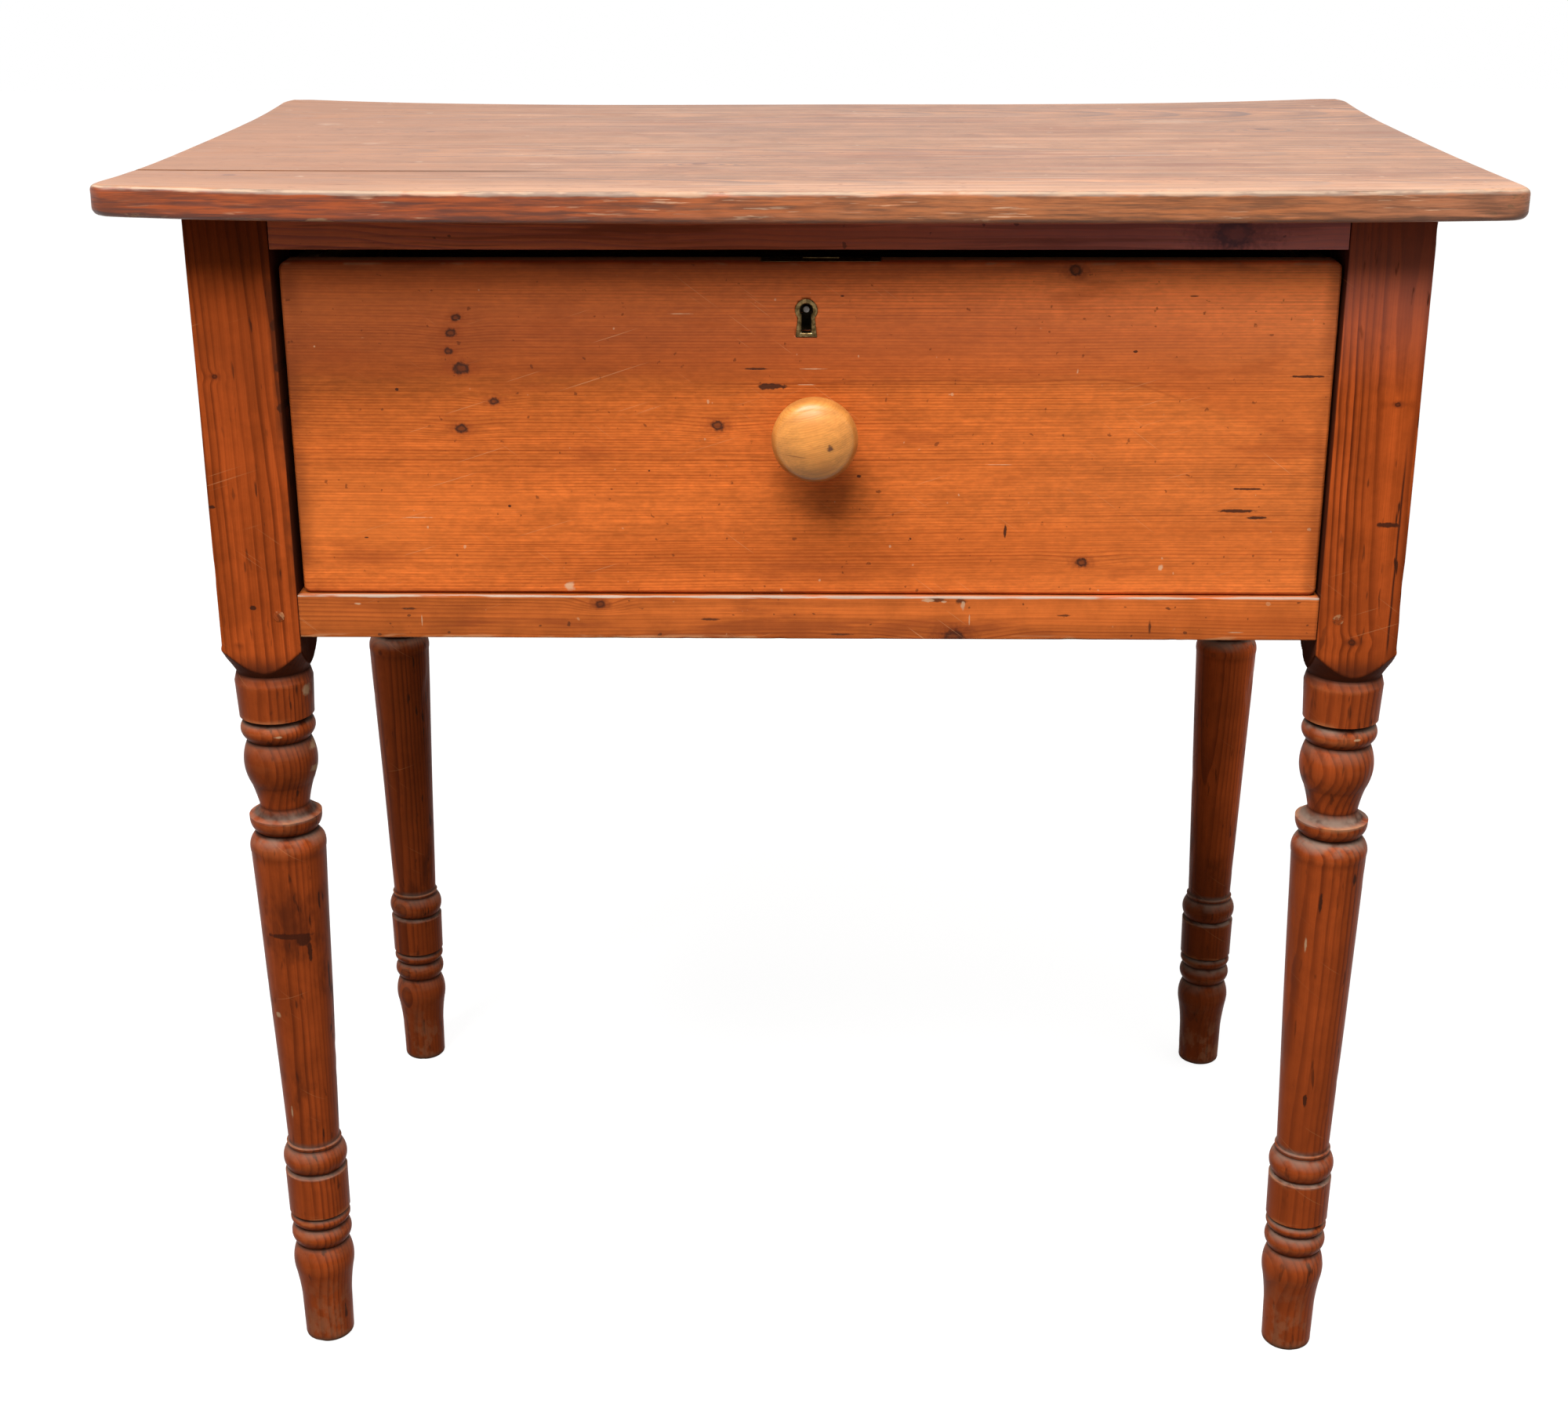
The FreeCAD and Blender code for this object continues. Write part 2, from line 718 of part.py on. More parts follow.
def make_legs():
    """Four legs, each with the mortises for what meets it."""
    for side_name, side in SIDES.items():
        x = (half_frame - s.leg_square / 2) * side
        node = f"front_{side_name}_leg"
        blank = turned_leg(f"{node}_blank", x, front + s.leg_square / 2)
        tools = side_tenons(f"{node}_apron_mortise", side, front_leg_back, -1, s.joint_gap, s.mortise_floor)
        tools += rail_tenons(f"{node}_rail_mortise", side, s.joint_gap, s.mortise_floor)
        tools.append(pad(f"{node}_socket", "XY_Plane", upper_rail_low, dovetail_points(side, s.joint_gap),
                         s.upper_rail_thickness))
        tools += pegs(f"{node}_hole", s.round_gap, f"{side_name}_front")
        tools += pegs(f"{node}_hole", s.round_gap, f"{side_name}_rail")
        keep(cut(node, blank, tools), node)
        node = f"rear_{side_name}_leg"
        blank = turned_leg(f"{node}_blank", x, back - s.leg_square / 2)
        tools = side_tenons(f"{node}_apron_mortise", side, rear_leg_front, 1, s.joint_gap, s.mortise_floor)
        tools += back_tenons(f"{node}_back_mortise", side, s.joint_gap, s.mortise_floor)
        tools += pegs(f"{node}_hole", s.round_gap, f"{side_name}_rear")
        tools += pegs(f"{node}_hole", s.round_gap, f"{side_name}_back")
        keep(cut(node, blank, tools), node)


# Aprons and rails

def make_aprons():
    """Wide boards between the legs, with two tenons at each end."""
    for side_name, side in SIDES.items():
        node = f"{side_name}_apron"
        low_x, high_x = across(side, apron_inner, half_frame - s.apron_setback)
        board = block(f"{node}_board", (low_x, front_leg_back, apron_bottom),
                      (high_x, rear_leg_front, underside))
        tenons = side_tenons(f"{node}_front_tenon", side, front_leg_back, -1)
        tenons += side_tenons(f"{node}_rear_tenon", side, rear_leg_front, 1)
        holes = pegs(f"{node}_hole", s.round_gap, f"{side_name}_front")
        holes += pegs(f"{node}_hole", s.round_gap, f"{side_name}_rear")
        keep(cut(node, fuse(f"{node}_whole", [board] + tenons), holes), node)
    node = "back_apron"
    board = block(f"{node}_board", (-inner_leg, back_apron_inner, apron_bottom),
                  (inner_leg, back_apron_rear, underside))
    tenons = []
    for side_name, side in SIDES.items():
        tenons += back_tenons(f"{node}_{side_name}_tenon", side)
    holes = pegs(f"{node}_hole", s.round_gap, "_back_")
    keep(cut(node, fuse(f"{node}_whole", [board] + tenons), holes), node)


def make_upper_rail():
    """The rail over the drawer: dovetailed into the legs, with a mortise for the lock's bolt."""
    node = "upper_front_rail"
    right_end = dovetail_points(RIGHT)
    left_end = dovetail_points(LEFT)[::-1]
    corners = [(-inner_leg, front, ZERO), (inner_leg, front, ZERO)] + right_end
    corners += [(inner_leg, rail_back, ZERO), (-inner_leg, rail_back, ZERO)] + left_end
    rail = pad(f"{node}_board", "XY_Plane", upper_rail_low, corners, s.upper_rail_thickness)
    half_head = s.bolt_head_width / 2 + s.bolt_mortise_gap
    mortise = block(f"{node}_mortise",
                    (lock_x - half_head, bolt_front - s.bolt_mortise_gap, upper_rail_low),
                    (lock_x + half_head, bolt_back + s.bolt_mortise_gap,
                     bolt_top + s.bolt_throw + s.bolt_mortise_gap))
    holes = [top_screw(f"{node}_{name}_hole", spot, s.round_gap) for name, spot in screw_places()
             if "rail" in name]
    keep(cut(node, rail, [mortise] + holes), node)


def make_lower_rail():
    """The rail under the drawer: a pair of tenons at each end, and slots for the runners."""
    node = "lower_front_rail"
    board = block(f"{node}_board", (-inner_leg, front, apron_bottom), (inner_leg, rail_back, lower_rail_top))
    tenons = []
    tools = []
    for side_name, side in SIDES.items():
        tenons += rail_tenons(f"{node}_{side_name}_tenon", side)
        tools.append(runner_tongue(f"{node}_{side_name}_slot", side, s.joint_gap))
        tools += pegs(f"{node}_hole", s.round_gap, f"{side_name}_rail")
    keep(cut(node, fuse(f"{node}_whole", [board] + tenons), tools), node)


# What carries and guides the drawer

def runner_tongue(name, side, gap=ZERO):
    """The tongue of a runner, or the slot for it in the lower rail."""
    middle = inner_leg - s.runner_width / 2
    low_x, high_x = across(side, middle - s.tongue_width / 2 - gap, middle + s.tongue_width / 2 + gap)
    level = lower_rail_top - s.runner_thickness / 2
    return block(name, (low_x, rail_back - s.tongue_length - gap, level - s.tongue_thickness / 2 - gap),
                 (high_x, rail_back, level + s.tongue_thickness / 2 + gap))


def bearer_points(side):
    """A strip along an apron, notched round the two legs, seen from above."""
    inner = (inner_leg - s.runner_width) * side
    notch = inner_leg * side
    outer = apron_inner * side
    return [(inner, rail_back, ZERO), (notch, rail_back, ZERO), (notch, front_leg_back, ZERO),
            (outer, front_leg_back, ZERO), (outer, rear_leg_front, ZERO), (notch, rear_leg_front, ZERO),
            (notch, back_apron_inner, ZERO), (inner, back_apron_inner, ZERO)]


def make_bearers():
    """On each side, a runner under the drawer, a guide beside it and a kicker over it."""
    for side_name, side in SIDES.items():
        node = f"{side_name}_runner"
        strip = pad(f"{node}_strip", "XY_Plane", lower_rail_top - s.runner_thickness, bearer_points(side),
                    s.runner_thickness)
        keep(fuse(node, [strip, runner_tongue(f"{node}_tongue", side)]), node)
        node = f"{side_name}_guide"
        low_x, high_x = across(side, inner_leg, apron_inner)
        keep(block(node, (low_x, front_leg_back, lower_rail_top),
                   (high_x, rear_leg_front, lower_rail_top + s.guide_height)), node)
        node = f"{side_name}_kicker"
        strip = pad(f"{node}_strip", "XY_Plane", upper_rail_low, bearer_points(side), s.upper_rail_thickness)
        holes = [top_screw(f"{node}_{name}_hole", spot, s.round_gap) for name, spot in screw_places()
                 if name.startswith(side_name) and "rail" not in name]
        keep(cut(node, strip, holes), node)
        node = f"{side_name}_drawer_stop"
        middle = (inner_leg - s.stop_inset) * side
        stop_front = drawer_inner + s.running_gap
        stop_top = lower_rail_top + s.stop_height
        keep(block(node, (middle - s.stop_width / 2, stop_front, lower_rail_top),
                   (middle + s.stop_width / 2, stop_front + s.stop_depth, stop_top)), node)


def make_frame_fasteners():
    """Glue blocks behind the top, the screws that hold it, and the drawbore pegs."""
    blocks = []
    for number, step in enumerate((-1, 0, 1), start=1):
        middle = (inner_leg - s.block_inset) * step
        blocks.append(wedge(f"glue_block_{number}", middle - s.block_length / 2, middle + s.block_length / 2,
                            back_apron_inner - s.block_leg, back_apron_inner,
                            (underside - s.block_nose, underside), (underside - s.block_leg, underside)))
    keep(group("glue_block_group", blocks), "glue_blocks")
    keep(group("top_screw_group", [top_screw(name, spot) for name, spot in screw_places()]), "top_screws")
    keep(group("peg_group", pegs("drawbore")), "drawbore_pegs")


# Drawer

def dovetails(name, span_x, span_y, span_z, count, width, splay):
    """An even row of dovetails, each wide at its front end and narrower at its rear end."""
    low_z, high_z = span_z
    pitch = (high_z - low_z) / count
    wide = width / 2
    narrow = wide - splay
    shapes = []
    for number in range(count):
        middle = low_z + pitch / 2 + pitch * number
        shapes.append(wedge(f"{name}_{number + 1}", *span_x, *span_y, (middle - wide, middle + wide),
                            (middle - narrow, middle + narrow)))
    return shapes


def tails(name, span_x):
    """The dovetails at the front end of one drawer side."""
    return dovetails(name, span_x, (drawer_face + s.tail_lap, drawer_inner), (drawer_low, side_top),
                     TAIL_COUNT, s.tail_width, s.tail_splay)


def pins(name, span_x):
    """The pins at one end of the drawer back, which show on the outside of the drawer side."""
    return dovetails(name, span_x, (back_board_front, drawer_rear), (bottom_top, back_board_top),
                     PIN_COUNT, s.pin_width, s.pin_splay)


SIDE_SPANS = {"left": (drawer_left, left_inner), "right": (right_inner, drawer_right)}


def keyhole(radius, waist, foot, drop, gap=ZERO):
    """Corners of a keyhole shape: a round head over a flared slot."""
    shoulder = (radius * radius - waist * waist).root()
    return [
        (key_x + waist + gap, key_z - shoulder, radius + shoulder + gap),
        (key_x - waist - gap, key_z - shoulder, ZERO),
        (key_x - foot - gap, key_z - drop - gap, ZERO),
        (key_x + foot + gap, key_z - drop - gap, ZERO),
    ]


def lining(name, gap=ZERO):
    """The outside of the brass keyhole lining, or its seat with a gap all round."""
    corners = keyhole(s.key_radius + s.lining_wall, lining_waist, s.key_slot + s.lining_foot_wall,
                      s.key_drop + s.lining_sill, gap)
    return pad(name, "XZ_Plane", -(lining_rear + gap), corners, lining_rear - lining_rim + gap)


def key_corners():
    """Corners of the hole that the key goes through."""
    return keyhole(s.key_radius, s.key_slot, s.key_slot, s.key_drop)


def key_way(name, rear, depth):
    """The hole that the key goes through, from a rear plane towards the front."""
    return pad(name, "XZ_Plane", -rear, key_corners(), depth)


def lock_screws(name, gap=ZERO):
    """Four screws through the lock's plate, or their holes."""
    reach = s.lock_width / 2 - s.lock_screw_inset
    shapes = []
    for side_name, side in SIDES.items():
        for row in range(2):
            level = drawer_top - s.lock_screw_top - s.lock_screw_spacing * row
            shapes.append(screw(f"{name}_{side_name}_{row + 1}", (lock_x + reach * side, drawer_inner, level),
                                "forward", s.lock_screw_length, s.lock_screw_head_radius,
                                s.lock_screw_shank_radius, s.lock_screw_tip, gap))
    return shapes


def make_drawer_front():
    """The show face: lapped dovetail sockets, a groove, and recesses for lock, lining and knob."""
    node = "drawer_front"
    blank = pad(f"{node}_board", "XZ_Plane", -drawer_inner,
                rectangle((drawer_left, drawer_low), (drawer_right, drawer_top)), s.drawer_front_thickness)
    round_edges(blank, f"{node}_corners", "Fillet", s.drawer_front_corner, lambda edge: runs_along(edge, "Y"))
    round_edges(blank, f"{node}_arris", "Fillet", s.drawer_front_round,
                lambda edge: lies_at(edge, "Y", drawer_face))
    tools = []
    for side_name, span in SIDE_SPANS.items():
        tools += tails(f"{node}_{side_name}_socket", span)
    groove_front = drawer_inner - s.bottom_groove_depth
    tools.append(bottom_panel(f"{node}_groove", groove_front, drawer_rear, s.joint_gap))
    half_recess = half_case + s.joint_gap
    tools.append(block(f"{node}_case_recess",
                       (lock_x - half_recess, case_front - s.joint_gap, case_low - s.joint_gap),
                       (lock_x + half_recess, drawer_inner, drawer_top)))
    tools += lock_plate_blocks(f"{node}_plate_recess", s.joint_gap)
    tools += lock_screws(f"{node}_screw_hole", s.round_gap)
    tools.append(lining(f"{node}_lining_seat", s.joint_gap))
    tools.append(key_way(f"{node}_key_way", drawer_inner, s.drawer_front_thickness))
    tools.append(rod(f"{node}_knob_hole", (knob_x, drawer_inner, knob_z), "forward",
                     s.knob_spigot_radius + s.round_gap, s.drawer_front_thickness))
    keep(cut(node, blank, tools), node)


def bottom_panel(name, front_y, rear_y, gap=ZERO):
    """The drawer bottom between two planes, or with a gap the groove that holds its edges."""
    reach = s.bottom_groove_depth - s.joint_gap + gap
    return block(name, (left_inner - reach, front_y, bottom_low - gap),
                 (right_inner + reach, rear_y, bottom_top + gap))


def bottom_nails(name, gap=ZERO):
    """Nails up through the bottom into the drawer back, or their holes."""
    first = left_inner + s.nail_inset
    step = (right_inner - s.nail_inset - first) / (NAIL_COUNT - 1)
    rear_y = drawer_rear - s.drawer_back_thickness / 2
    return [nail(f"{name}_{number + 1}", (first + step * number, rear_y, bottom_low), gap)
            for number in range(NAIL_COUNT)]


def make_drawer_box():
    """Sides, back and a two board bottom."""
    for side_name, span in SIDE_SPANS.items():
        node = f"drawer_{side_name}_side"
        plank = block(f"{node}_plank", (span[0], drawer_inner, drawer_low), (span[1], drawer_rear, side_top))
        whole = fuse(f"{node}_whole", [plank] + tails(f"{node}_tail", span))
        tools = pins(f"{node}_socket", span)
        tools.append(bottom_panel(f"{node}_groove", drawer_face, drawer_rear, s.joint_gap))
        keep(cut(node, whole, tools), node)
    node = "drawer_back"
    plank = block(f"{node}_plank", (left_inner, back_board_front, bottom_top),
                  (right_inner, drawer_rear, back_board_top))
    shapes = [plank]
    for side_name, span in SIDE_SPANS.items():
        shapes += pins(f"{node}_{side_name}_pin", span)
    keep(cut(node, fuse(f"{node}_whole", shapes), bottom_nails(f"{node}_hole", s.round_gap)), node)
    bottom_front = drawer_inner - s.bottom_groove_depth + s.joint_gap
    bottom_joint = (bottom_front + drawer_rear) / 2
    keep(bottom_panel("drawer_bottom_front_board", bottom_front, bottom_joint), "drawer_bottom_front")
    rear_board = bottom_panel("drawer_bottom_rear_board", bottom_joint, drawer_rear)
    holes = bottom_nails("drawer_bottom_hole", s.round_gap)
    keep(cut("drawer_bottom_rear", rear_board, holes), "drawer_bottom_rear")
    keep(group("bottom_nail_group", bottom_nails("bottom_nail")), "drawer_bottom_nails")


def make_knob():
    """A turned mushroom knob on a spigot that goes through the drawer front."""
    body = doc.addObject("PartDesign::Body", "knob_body")
    sketch = new_sketch(body, "knob_profile", "XZ_Plane")
    outline(sketch, [
        (ZERO, -s.drawer_front_thickness, ZERO),
        (s.knob_spigot_radius, -s.drawer_front_thickness, ZERO),
        (s.knob_spigot_radius, ZERO, ZERO),
        (s.knob_collar_radius, ZERO, s.knob_collar_swell),
        (s.knob_neck_radius, s.knob_collar_height, ZERO),
        (s.knob_neck_radius, s.knob_neck_height, -s.knob_hollow),
        (s.knob_radius, s.knob_rim_back, s.knob_rim_swell),
        (s.knob_radius - s.knob_rim_slope, s.knob_rim_front, DOME),
        (ZERO, s.knob_projection, ZERO),
    ])
    feature = body.newObject("PartDesign::Revolution", "knob_turning")
    feature.Profile = sketch
    feature.ReferenceAxis = (sketch, ["V_Axis"])
    place(body, (knob_x, drawer_face, knob_z), "forward")
    keep(body, "knob")


# Lock and its keyhole lining

def make_lining():
    """The brass lining of the keyhole, let in almost flush, with a bevelled mouth."""
    ring = lining("escutcheon_ring")
    sketch = new_sketch(ring, "escutcheon_key_outline", "XZ_Plane", -lining_rear)
    outline(sketch, key_corners())
    pocket = ring.newObject("PartDesign::Pocket", "escutcheon_key_way")
    pocket.Profile = sketch
    pocket.Reversed = True
    bind(pocket, Length=lining_rear - lining_rim)
    doc.recompute()

    def mouth(edge):
        """True for the edges of the key's hole, which are nearer the middle than the outside ones."""
        box = edge.BoundBox
        near = abs(box.Center.x - key_x.value) < lining_waist.value
        return lies_at(edge, "Y", lining_rim) and near and box.XLength < lining_waist.value * 2

    round_edges(ring, "escutcheon_bevel", "Chamfer", s.lining_bevel, mouth)
    keep(ring, "escutcheon")


def lock_plate_blocks(name, gap=ZERO):
    """The lock's back plate and the selvedge along its top, or the recess for them."""
    half = s.lock_width / 2 + gap
    plate = block(f"{name}_plate", (lock_x - half, plate_front - gap, drawer_top - s.lock_plate_height - gap),
                  (lock_x + half, drawer_inner, drawer_top))
    selvedge = block(f"{name}_selvedge",
                     (lock_x - half, drawer_inner - s.selvedge_depth - gap, selvedge_low - gap),
                     (lock_x + half, drawer_inner, drawer_top))
    return [plate, selvedge]


def bolt_head(name, high_z, gap=ZERO):
    """The part of the bolt that goes up through the selvedge, or the slot for it."""
    half = s.bolt_head_width / 2 + gap
    return block(name, (lock_x - half, bolt_front - gap, bolt_head_low),
                 (lock_x + half, bolt_back + gap, high_z))


def make_lock():
    """Plate, case, bolt, drill pin, tumbler and screws of the drawer lock."""
    whole = fuse("lock_plate_whole", lock_plate_blocks("lock_plate"))
    pin_spot = (key_x, drawer_inner, key_z)
    tools = [bolt_head("lock_plate_slot", drawer_top + s.lock_plate_thickness, s.running_gap)]
    tools.append(rod("lock_plate_pin_hole", pin_spot, "forward", s.drill_pin_radius + s.round_gap,
                     s.lock_plate_thickness))
    tools += lock_screws("lock_plate_screw_hole", s.round_gap)
    keep(cut("lock_plate", whole, tools), "lock_plate")

    shell = block("lock_case_shell", (lock_x - half_case, case_front, case_low),
                  (lock_x + half_case, plate_front, selvedge_low))
    half_room = half_case - s.case_wall
    room = block("lock_case_room", (lock_x - half_room, case_front + s.case_wall, case_low + s.case_wall),
                 (lock_x + half_room, plate_front, selvedge_low))
    key_cut = key_way("lock_case_key_way", plate_front, s.case_depth)
    hollow = cut("lock_case_hollow", shell, [room, key_cut])
    pivot_x = lock_x + half_case - s.tumbler_pivot_inset
    pivot_z = key_z + s.tumbler_pivot_rise
    post_end = bolt_front - s.running_gap
    post = rod("lock_case_post", (pivot_x, post_end, pivot_z), "forward", s.tumbler_pivot_radius,
               post_end - case_front)
    keep(fuse("lock_case", [hollow, post]), "lock_case")

    slab = block("lock_bolt_slab", (key_x - s.bolt_prong, bolt_front, bolt_low),
                 (lock_x + half_case - s.bolt_side_gap, bolt_back, bolt_head_low))
    fork = s.drill_pin_radius + s.bolt_fork_gap
    slot = block("lock_bolt_fork", (key_x - fork, bolt_front, bolt_low),
                 (key_x + fork, bolt_back, key_z + fork))
    talon = block("lock_bolt_talon", (key_x + fork, bolt_front, bolt_low),
                  (key_x + fork + s.talon_width, bolt_back, bolt_low + s.talon_height))
    bolt = fuse("lock_bolt_whole", [slab, bolt_head("lock_bolt_head", bolt_top)])
    keep(cut("lock_bolt", bolt, [slot, talon]), "lock_bolt")

    pin_length = s.drawer_front_thickness - s.drill_pin_setback
    keep(rod("lock_drill_pin", pin_spot, "forward", s.drill_pin_radius, pin_length), "lock_drill_pin")

    arm_back = bolt_front - s.running_gap * 2
    arm_front = arm_back - s.tumbler_thickness
    arm = block("lock_tumbler_arm", (key_x - s.tumbler_overlap, arm_front, pivot_z - s.tumbler_height / 2),
                (pivot_x, arm_back, pivot_z + s.tumbler_height / 2))
    eye_spot = (pivot_x, arm_back, pivot_z)
    eye = rod("lock_tumbler_eye", eye_spot, "forward", s.tumbler_eye_radius, s.tumbler_thickness)
    bore = rod("lock_tumbler_bore", eye_spot, "forward", s.tumbler_pivot_radius + s.pivot_gap,
               s.tumbler_thickness)
    keep(cut("lock_tumbler", fuse("lock_tumbler_whole", [arm, eye]), [bore]), "lock_tumbler")

    keep(group("lock_screw_group", lock_screws("lock_screw")), "lock_screws")


def check_document():
    """Stop if any object failed, or a finished piece is empty or broken."""
    doc.recompute()
    for thing in doc.Objects:
        if "Invalid" in thing.State or "Error" in thing.State:
            raise RuntimeError(f"{thing.Name} failed to build: {thing.State}")
    for thing in sub_parts:
        if thing.Shape.isNull() or not thing.Shape.isValid() or not thing.Shape.Solids:
            raise RuntimeError(f"{thing.Label} has no valid solid")


def write_parts():
    """Write each finished piece to its own file."""
    os.makedirs("parts", exist_ok=True)
    for thing in sub_parts:
        thing.Shape.exportStep(f"parts/{thing.Label}.step")
        box = thing.Shape.optimalBoundingBox()
        print(f"{thing.Label}: {len(thing.Shape.Solids)} solids, {thing.Shape.Volume / 1000:.1f} cm3, "
              f"x {box.XMin:.1f} to {box.XMax:.1f}, y {box.YMin:.1f} to {box.YMax:.1f}, "
              f"z {box.ZMin:.1f} to {box.ZMax:.1f}")
    print(f"{len(sub_parts)} pieces")


make_top()
make_legs()
make_aprons()
make_upper_rail()
make_lower_rail()
make_bearers()
make_frame_fasteners()
make_drawer_front()
make_drawer_box()
make_knob()
make_lining()
make_lock()
check_document()
write_parts()
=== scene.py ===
# %% [markdown]
# # An old pine kitchen table with one deep drawer
# The table is stained and varnished pine: a top of three boards, a frame of rails
# and aprons pegged into four turned legs, and a drawer with a wooden knob and a lock.
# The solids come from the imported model, already in metres and already in place.
# This lesson dresses them: worn boards, turned legs, pegs, wood, brass and iron.

# %% Load the table
import math

import bmesh
import bpy
import numpy as np
from mathutils import Matrix, Vector, noise


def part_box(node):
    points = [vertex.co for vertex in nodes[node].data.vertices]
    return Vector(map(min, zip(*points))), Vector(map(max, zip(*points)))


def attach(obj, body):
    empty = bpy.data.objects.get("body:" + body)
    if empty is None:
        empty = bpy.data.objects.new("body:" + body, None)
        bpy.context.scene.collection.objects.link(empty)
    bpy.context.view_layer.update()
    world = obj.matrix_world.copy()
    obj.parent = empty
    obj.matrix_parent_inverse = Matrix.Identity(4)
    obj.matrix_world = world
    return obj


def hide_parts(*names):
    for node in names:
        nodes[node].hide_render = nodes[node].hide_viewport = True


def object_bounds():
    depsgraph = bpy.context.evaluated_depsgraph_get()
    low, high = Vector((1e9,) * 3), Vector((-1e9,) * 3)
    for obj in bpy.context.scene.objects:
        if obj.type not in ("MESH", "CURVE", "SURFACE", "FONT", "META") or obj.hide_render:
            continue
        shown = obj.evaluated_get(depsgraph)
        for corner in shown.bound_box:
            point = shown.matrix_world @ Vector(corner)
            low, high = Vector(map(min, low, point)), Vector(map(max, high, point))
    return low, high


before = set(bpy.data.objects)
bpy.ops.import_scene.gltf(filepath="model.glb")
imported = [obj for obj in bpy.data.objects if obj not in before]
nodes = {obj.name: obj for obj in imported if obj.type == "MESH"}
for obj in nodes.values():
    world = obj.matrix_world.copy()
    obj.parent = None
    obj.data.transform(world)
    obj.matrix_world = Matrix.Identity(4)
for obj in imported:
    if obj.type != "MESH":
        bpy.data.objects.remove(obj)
cad_low, cad_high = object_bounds()
MM = 0.001


def put_in_scene(name, data):
    """A new object with this data, linked to the scene."""
    thing = bpy.data.objects.new(name, data)
    bpy.context.scene.collection.objects.link(thing)
    return thing


print("solids:", len(nodes), "size in mm:", [round(s / MM) for s in cad_high - cad_low])

# %% [markdown]
# ## The camera
# The photograph was taken standing close in front of the table and looking down a
# little. The place, the tilt and the lens below come from fitting the table's known
# corners to their pixels, so no shift of the lens is needed.

# %% Set the camera
EYE = Vector((0.011857, -1.454142, 0.920953))
DOWN = 0.356
TURN = -0.02
ROLL = -0.003
SENSOR = 36
FOCAL = 51.68
forward = Vector((math.sin(TURN) * math.cos(DOWN), math.cos(TURN) * math.cos(DOWN), -math.sin(DOWN)))
level = Vector((math.cos(TURN), -math.sin(TURN), 0))
upright = level.cross(forward)
right = level * math.cos(ROLL) + upright * math.sin(ROLL)
above = upright * math.cos(ROLL) - level * math.sin(ROLL)
lens = bpy.data.cameras.new("camera")
lens.sensor_width = SENSOR
lens.lens = FOCAL
camera = put_in_scene("camera", lens)
turned = Matrix((right, above, -forward)).transposed().to_4x4()
camera.matrix_world = Matrix.Translation(EYE) @ turned
bpy.context.scene.camera = camera
bpy.context.scene.view_settings.view_transform = "Standard"
print("camera to the top's front edge in mm:", round((cad_low.y - EYE.y) / MM))

# %% [markdown]
# ## Nodes that read like arithmetic
# Wood is a long recipe of sums, and a node tree hides them. A Wire stands for one
# socket and can be added, multiplied and compared, so each line of a finish below
# says what it does. Every operation still becomes an ordinary node.

# %% Wires between nodes
class Wire:
    """One socket of a node tree, to be used in sums."""

    def __init__(self, tree, socket):
        self.tree = tree
        self.socket = socket

    def __add__(self, other):
        return reckon(self.tree, "ADD", self, other)

    def __sub__(self, other):
        return reckon(self.tree, "SUBTRACT", self, other)

    def __rsub__(self, other):
        return reckon(self.tree, "SUBTRACT", other, self)

    def __mul__(self, other):
        return reckon(self.tree, "MULTIPLY", self, other)

    def __truediv__(self, other):
        return reckon(self.tree, "DIVIDE", self, other)

    __radd__ = __add__


def feed(socket, value):
    """Links a wire to a socket, or sets the socket to a plain value."""
    if isinstance(value, Wire):
        value.tree.links.new(value.socket, socket)
    else:
        socket.default_value = value


def plug(tree, kind, *values, settings=None, **named):
    """The first output of a new node, with its inputs linked or set in order or by name."""
    node = tree.nodes.new(kind)
    for name, value in (settings or {}).items():
        setattr(node, name, value)
    for socket, value in zip(node.inputs, values):
        feed(socket, value)
    for name, value in named.items():
        feed(node.inputs[name.replace("_", " ")], value)
    return Wire(tree, node.outputs[0])


def reckon(tree, operation, *values):
    """One Math node."""
    return plug(tree, "ShaderNodeMath", *values, settings={"operation": operation})


def vectors(tree, operation, *values):
    """One Vector Math node; length and distance come out as a number."""
    wire = plug(tree, "ShaderNodeVectorMath", *values, settings={"operation": operation})
    name = "Value" if operation in ("LENGTH", "DISTANCE") else "Vector"
    return Wire(tree, wire.socket.node.outputs[name])


def split(wire):
    """The three numbers of a vector."""
    node = wire.tree.nodes.new("ShaderNodeSeparateXYZ")
    feed(node.inputs[0], wire)
    return [Wire(wire.tree, socket) for socket in node.outputs]


def merge(tree, x, y, z):
    """A vector from three numbers."""
    return plug(tree, "ShaderNodeCombineXYZ", x, y, z)


def smooth(wire, low, high, first=0.0, last=1.0):
    """A soft step: first up to low, last from high on. Low may be the larger."""
    return plug(wire.tree, "ShaderNodeMapRange", settings={"interpolation_type": "SMOOTHSTEP"},
                Value=wire, From_Min=low, From_Max=high, To_Min=first, To_Max=last)


def cloud(x, y, z, detail, rough=0.5):
    """Noise from 0 to 1, stretched by the numbers that x, y and z were multiplied with."""
    return plug(x.tree, "ShaderNodeTexNoise", Vector=merge(x.tree, x, y, z), Scale=1.0, Detail=detail,
                Roughness=rough)


def highest(wires):
    """The largest of several numbers."""
    most = wires[0]
    for wire in wires[1:]:
        most = reckon(most.tree, "MAXIMUM", most, wire)
    return most


def unsigned(wire):
    """A number without its sign."""
    return reckon(wire.tree, "ABSOLUTE", wire)


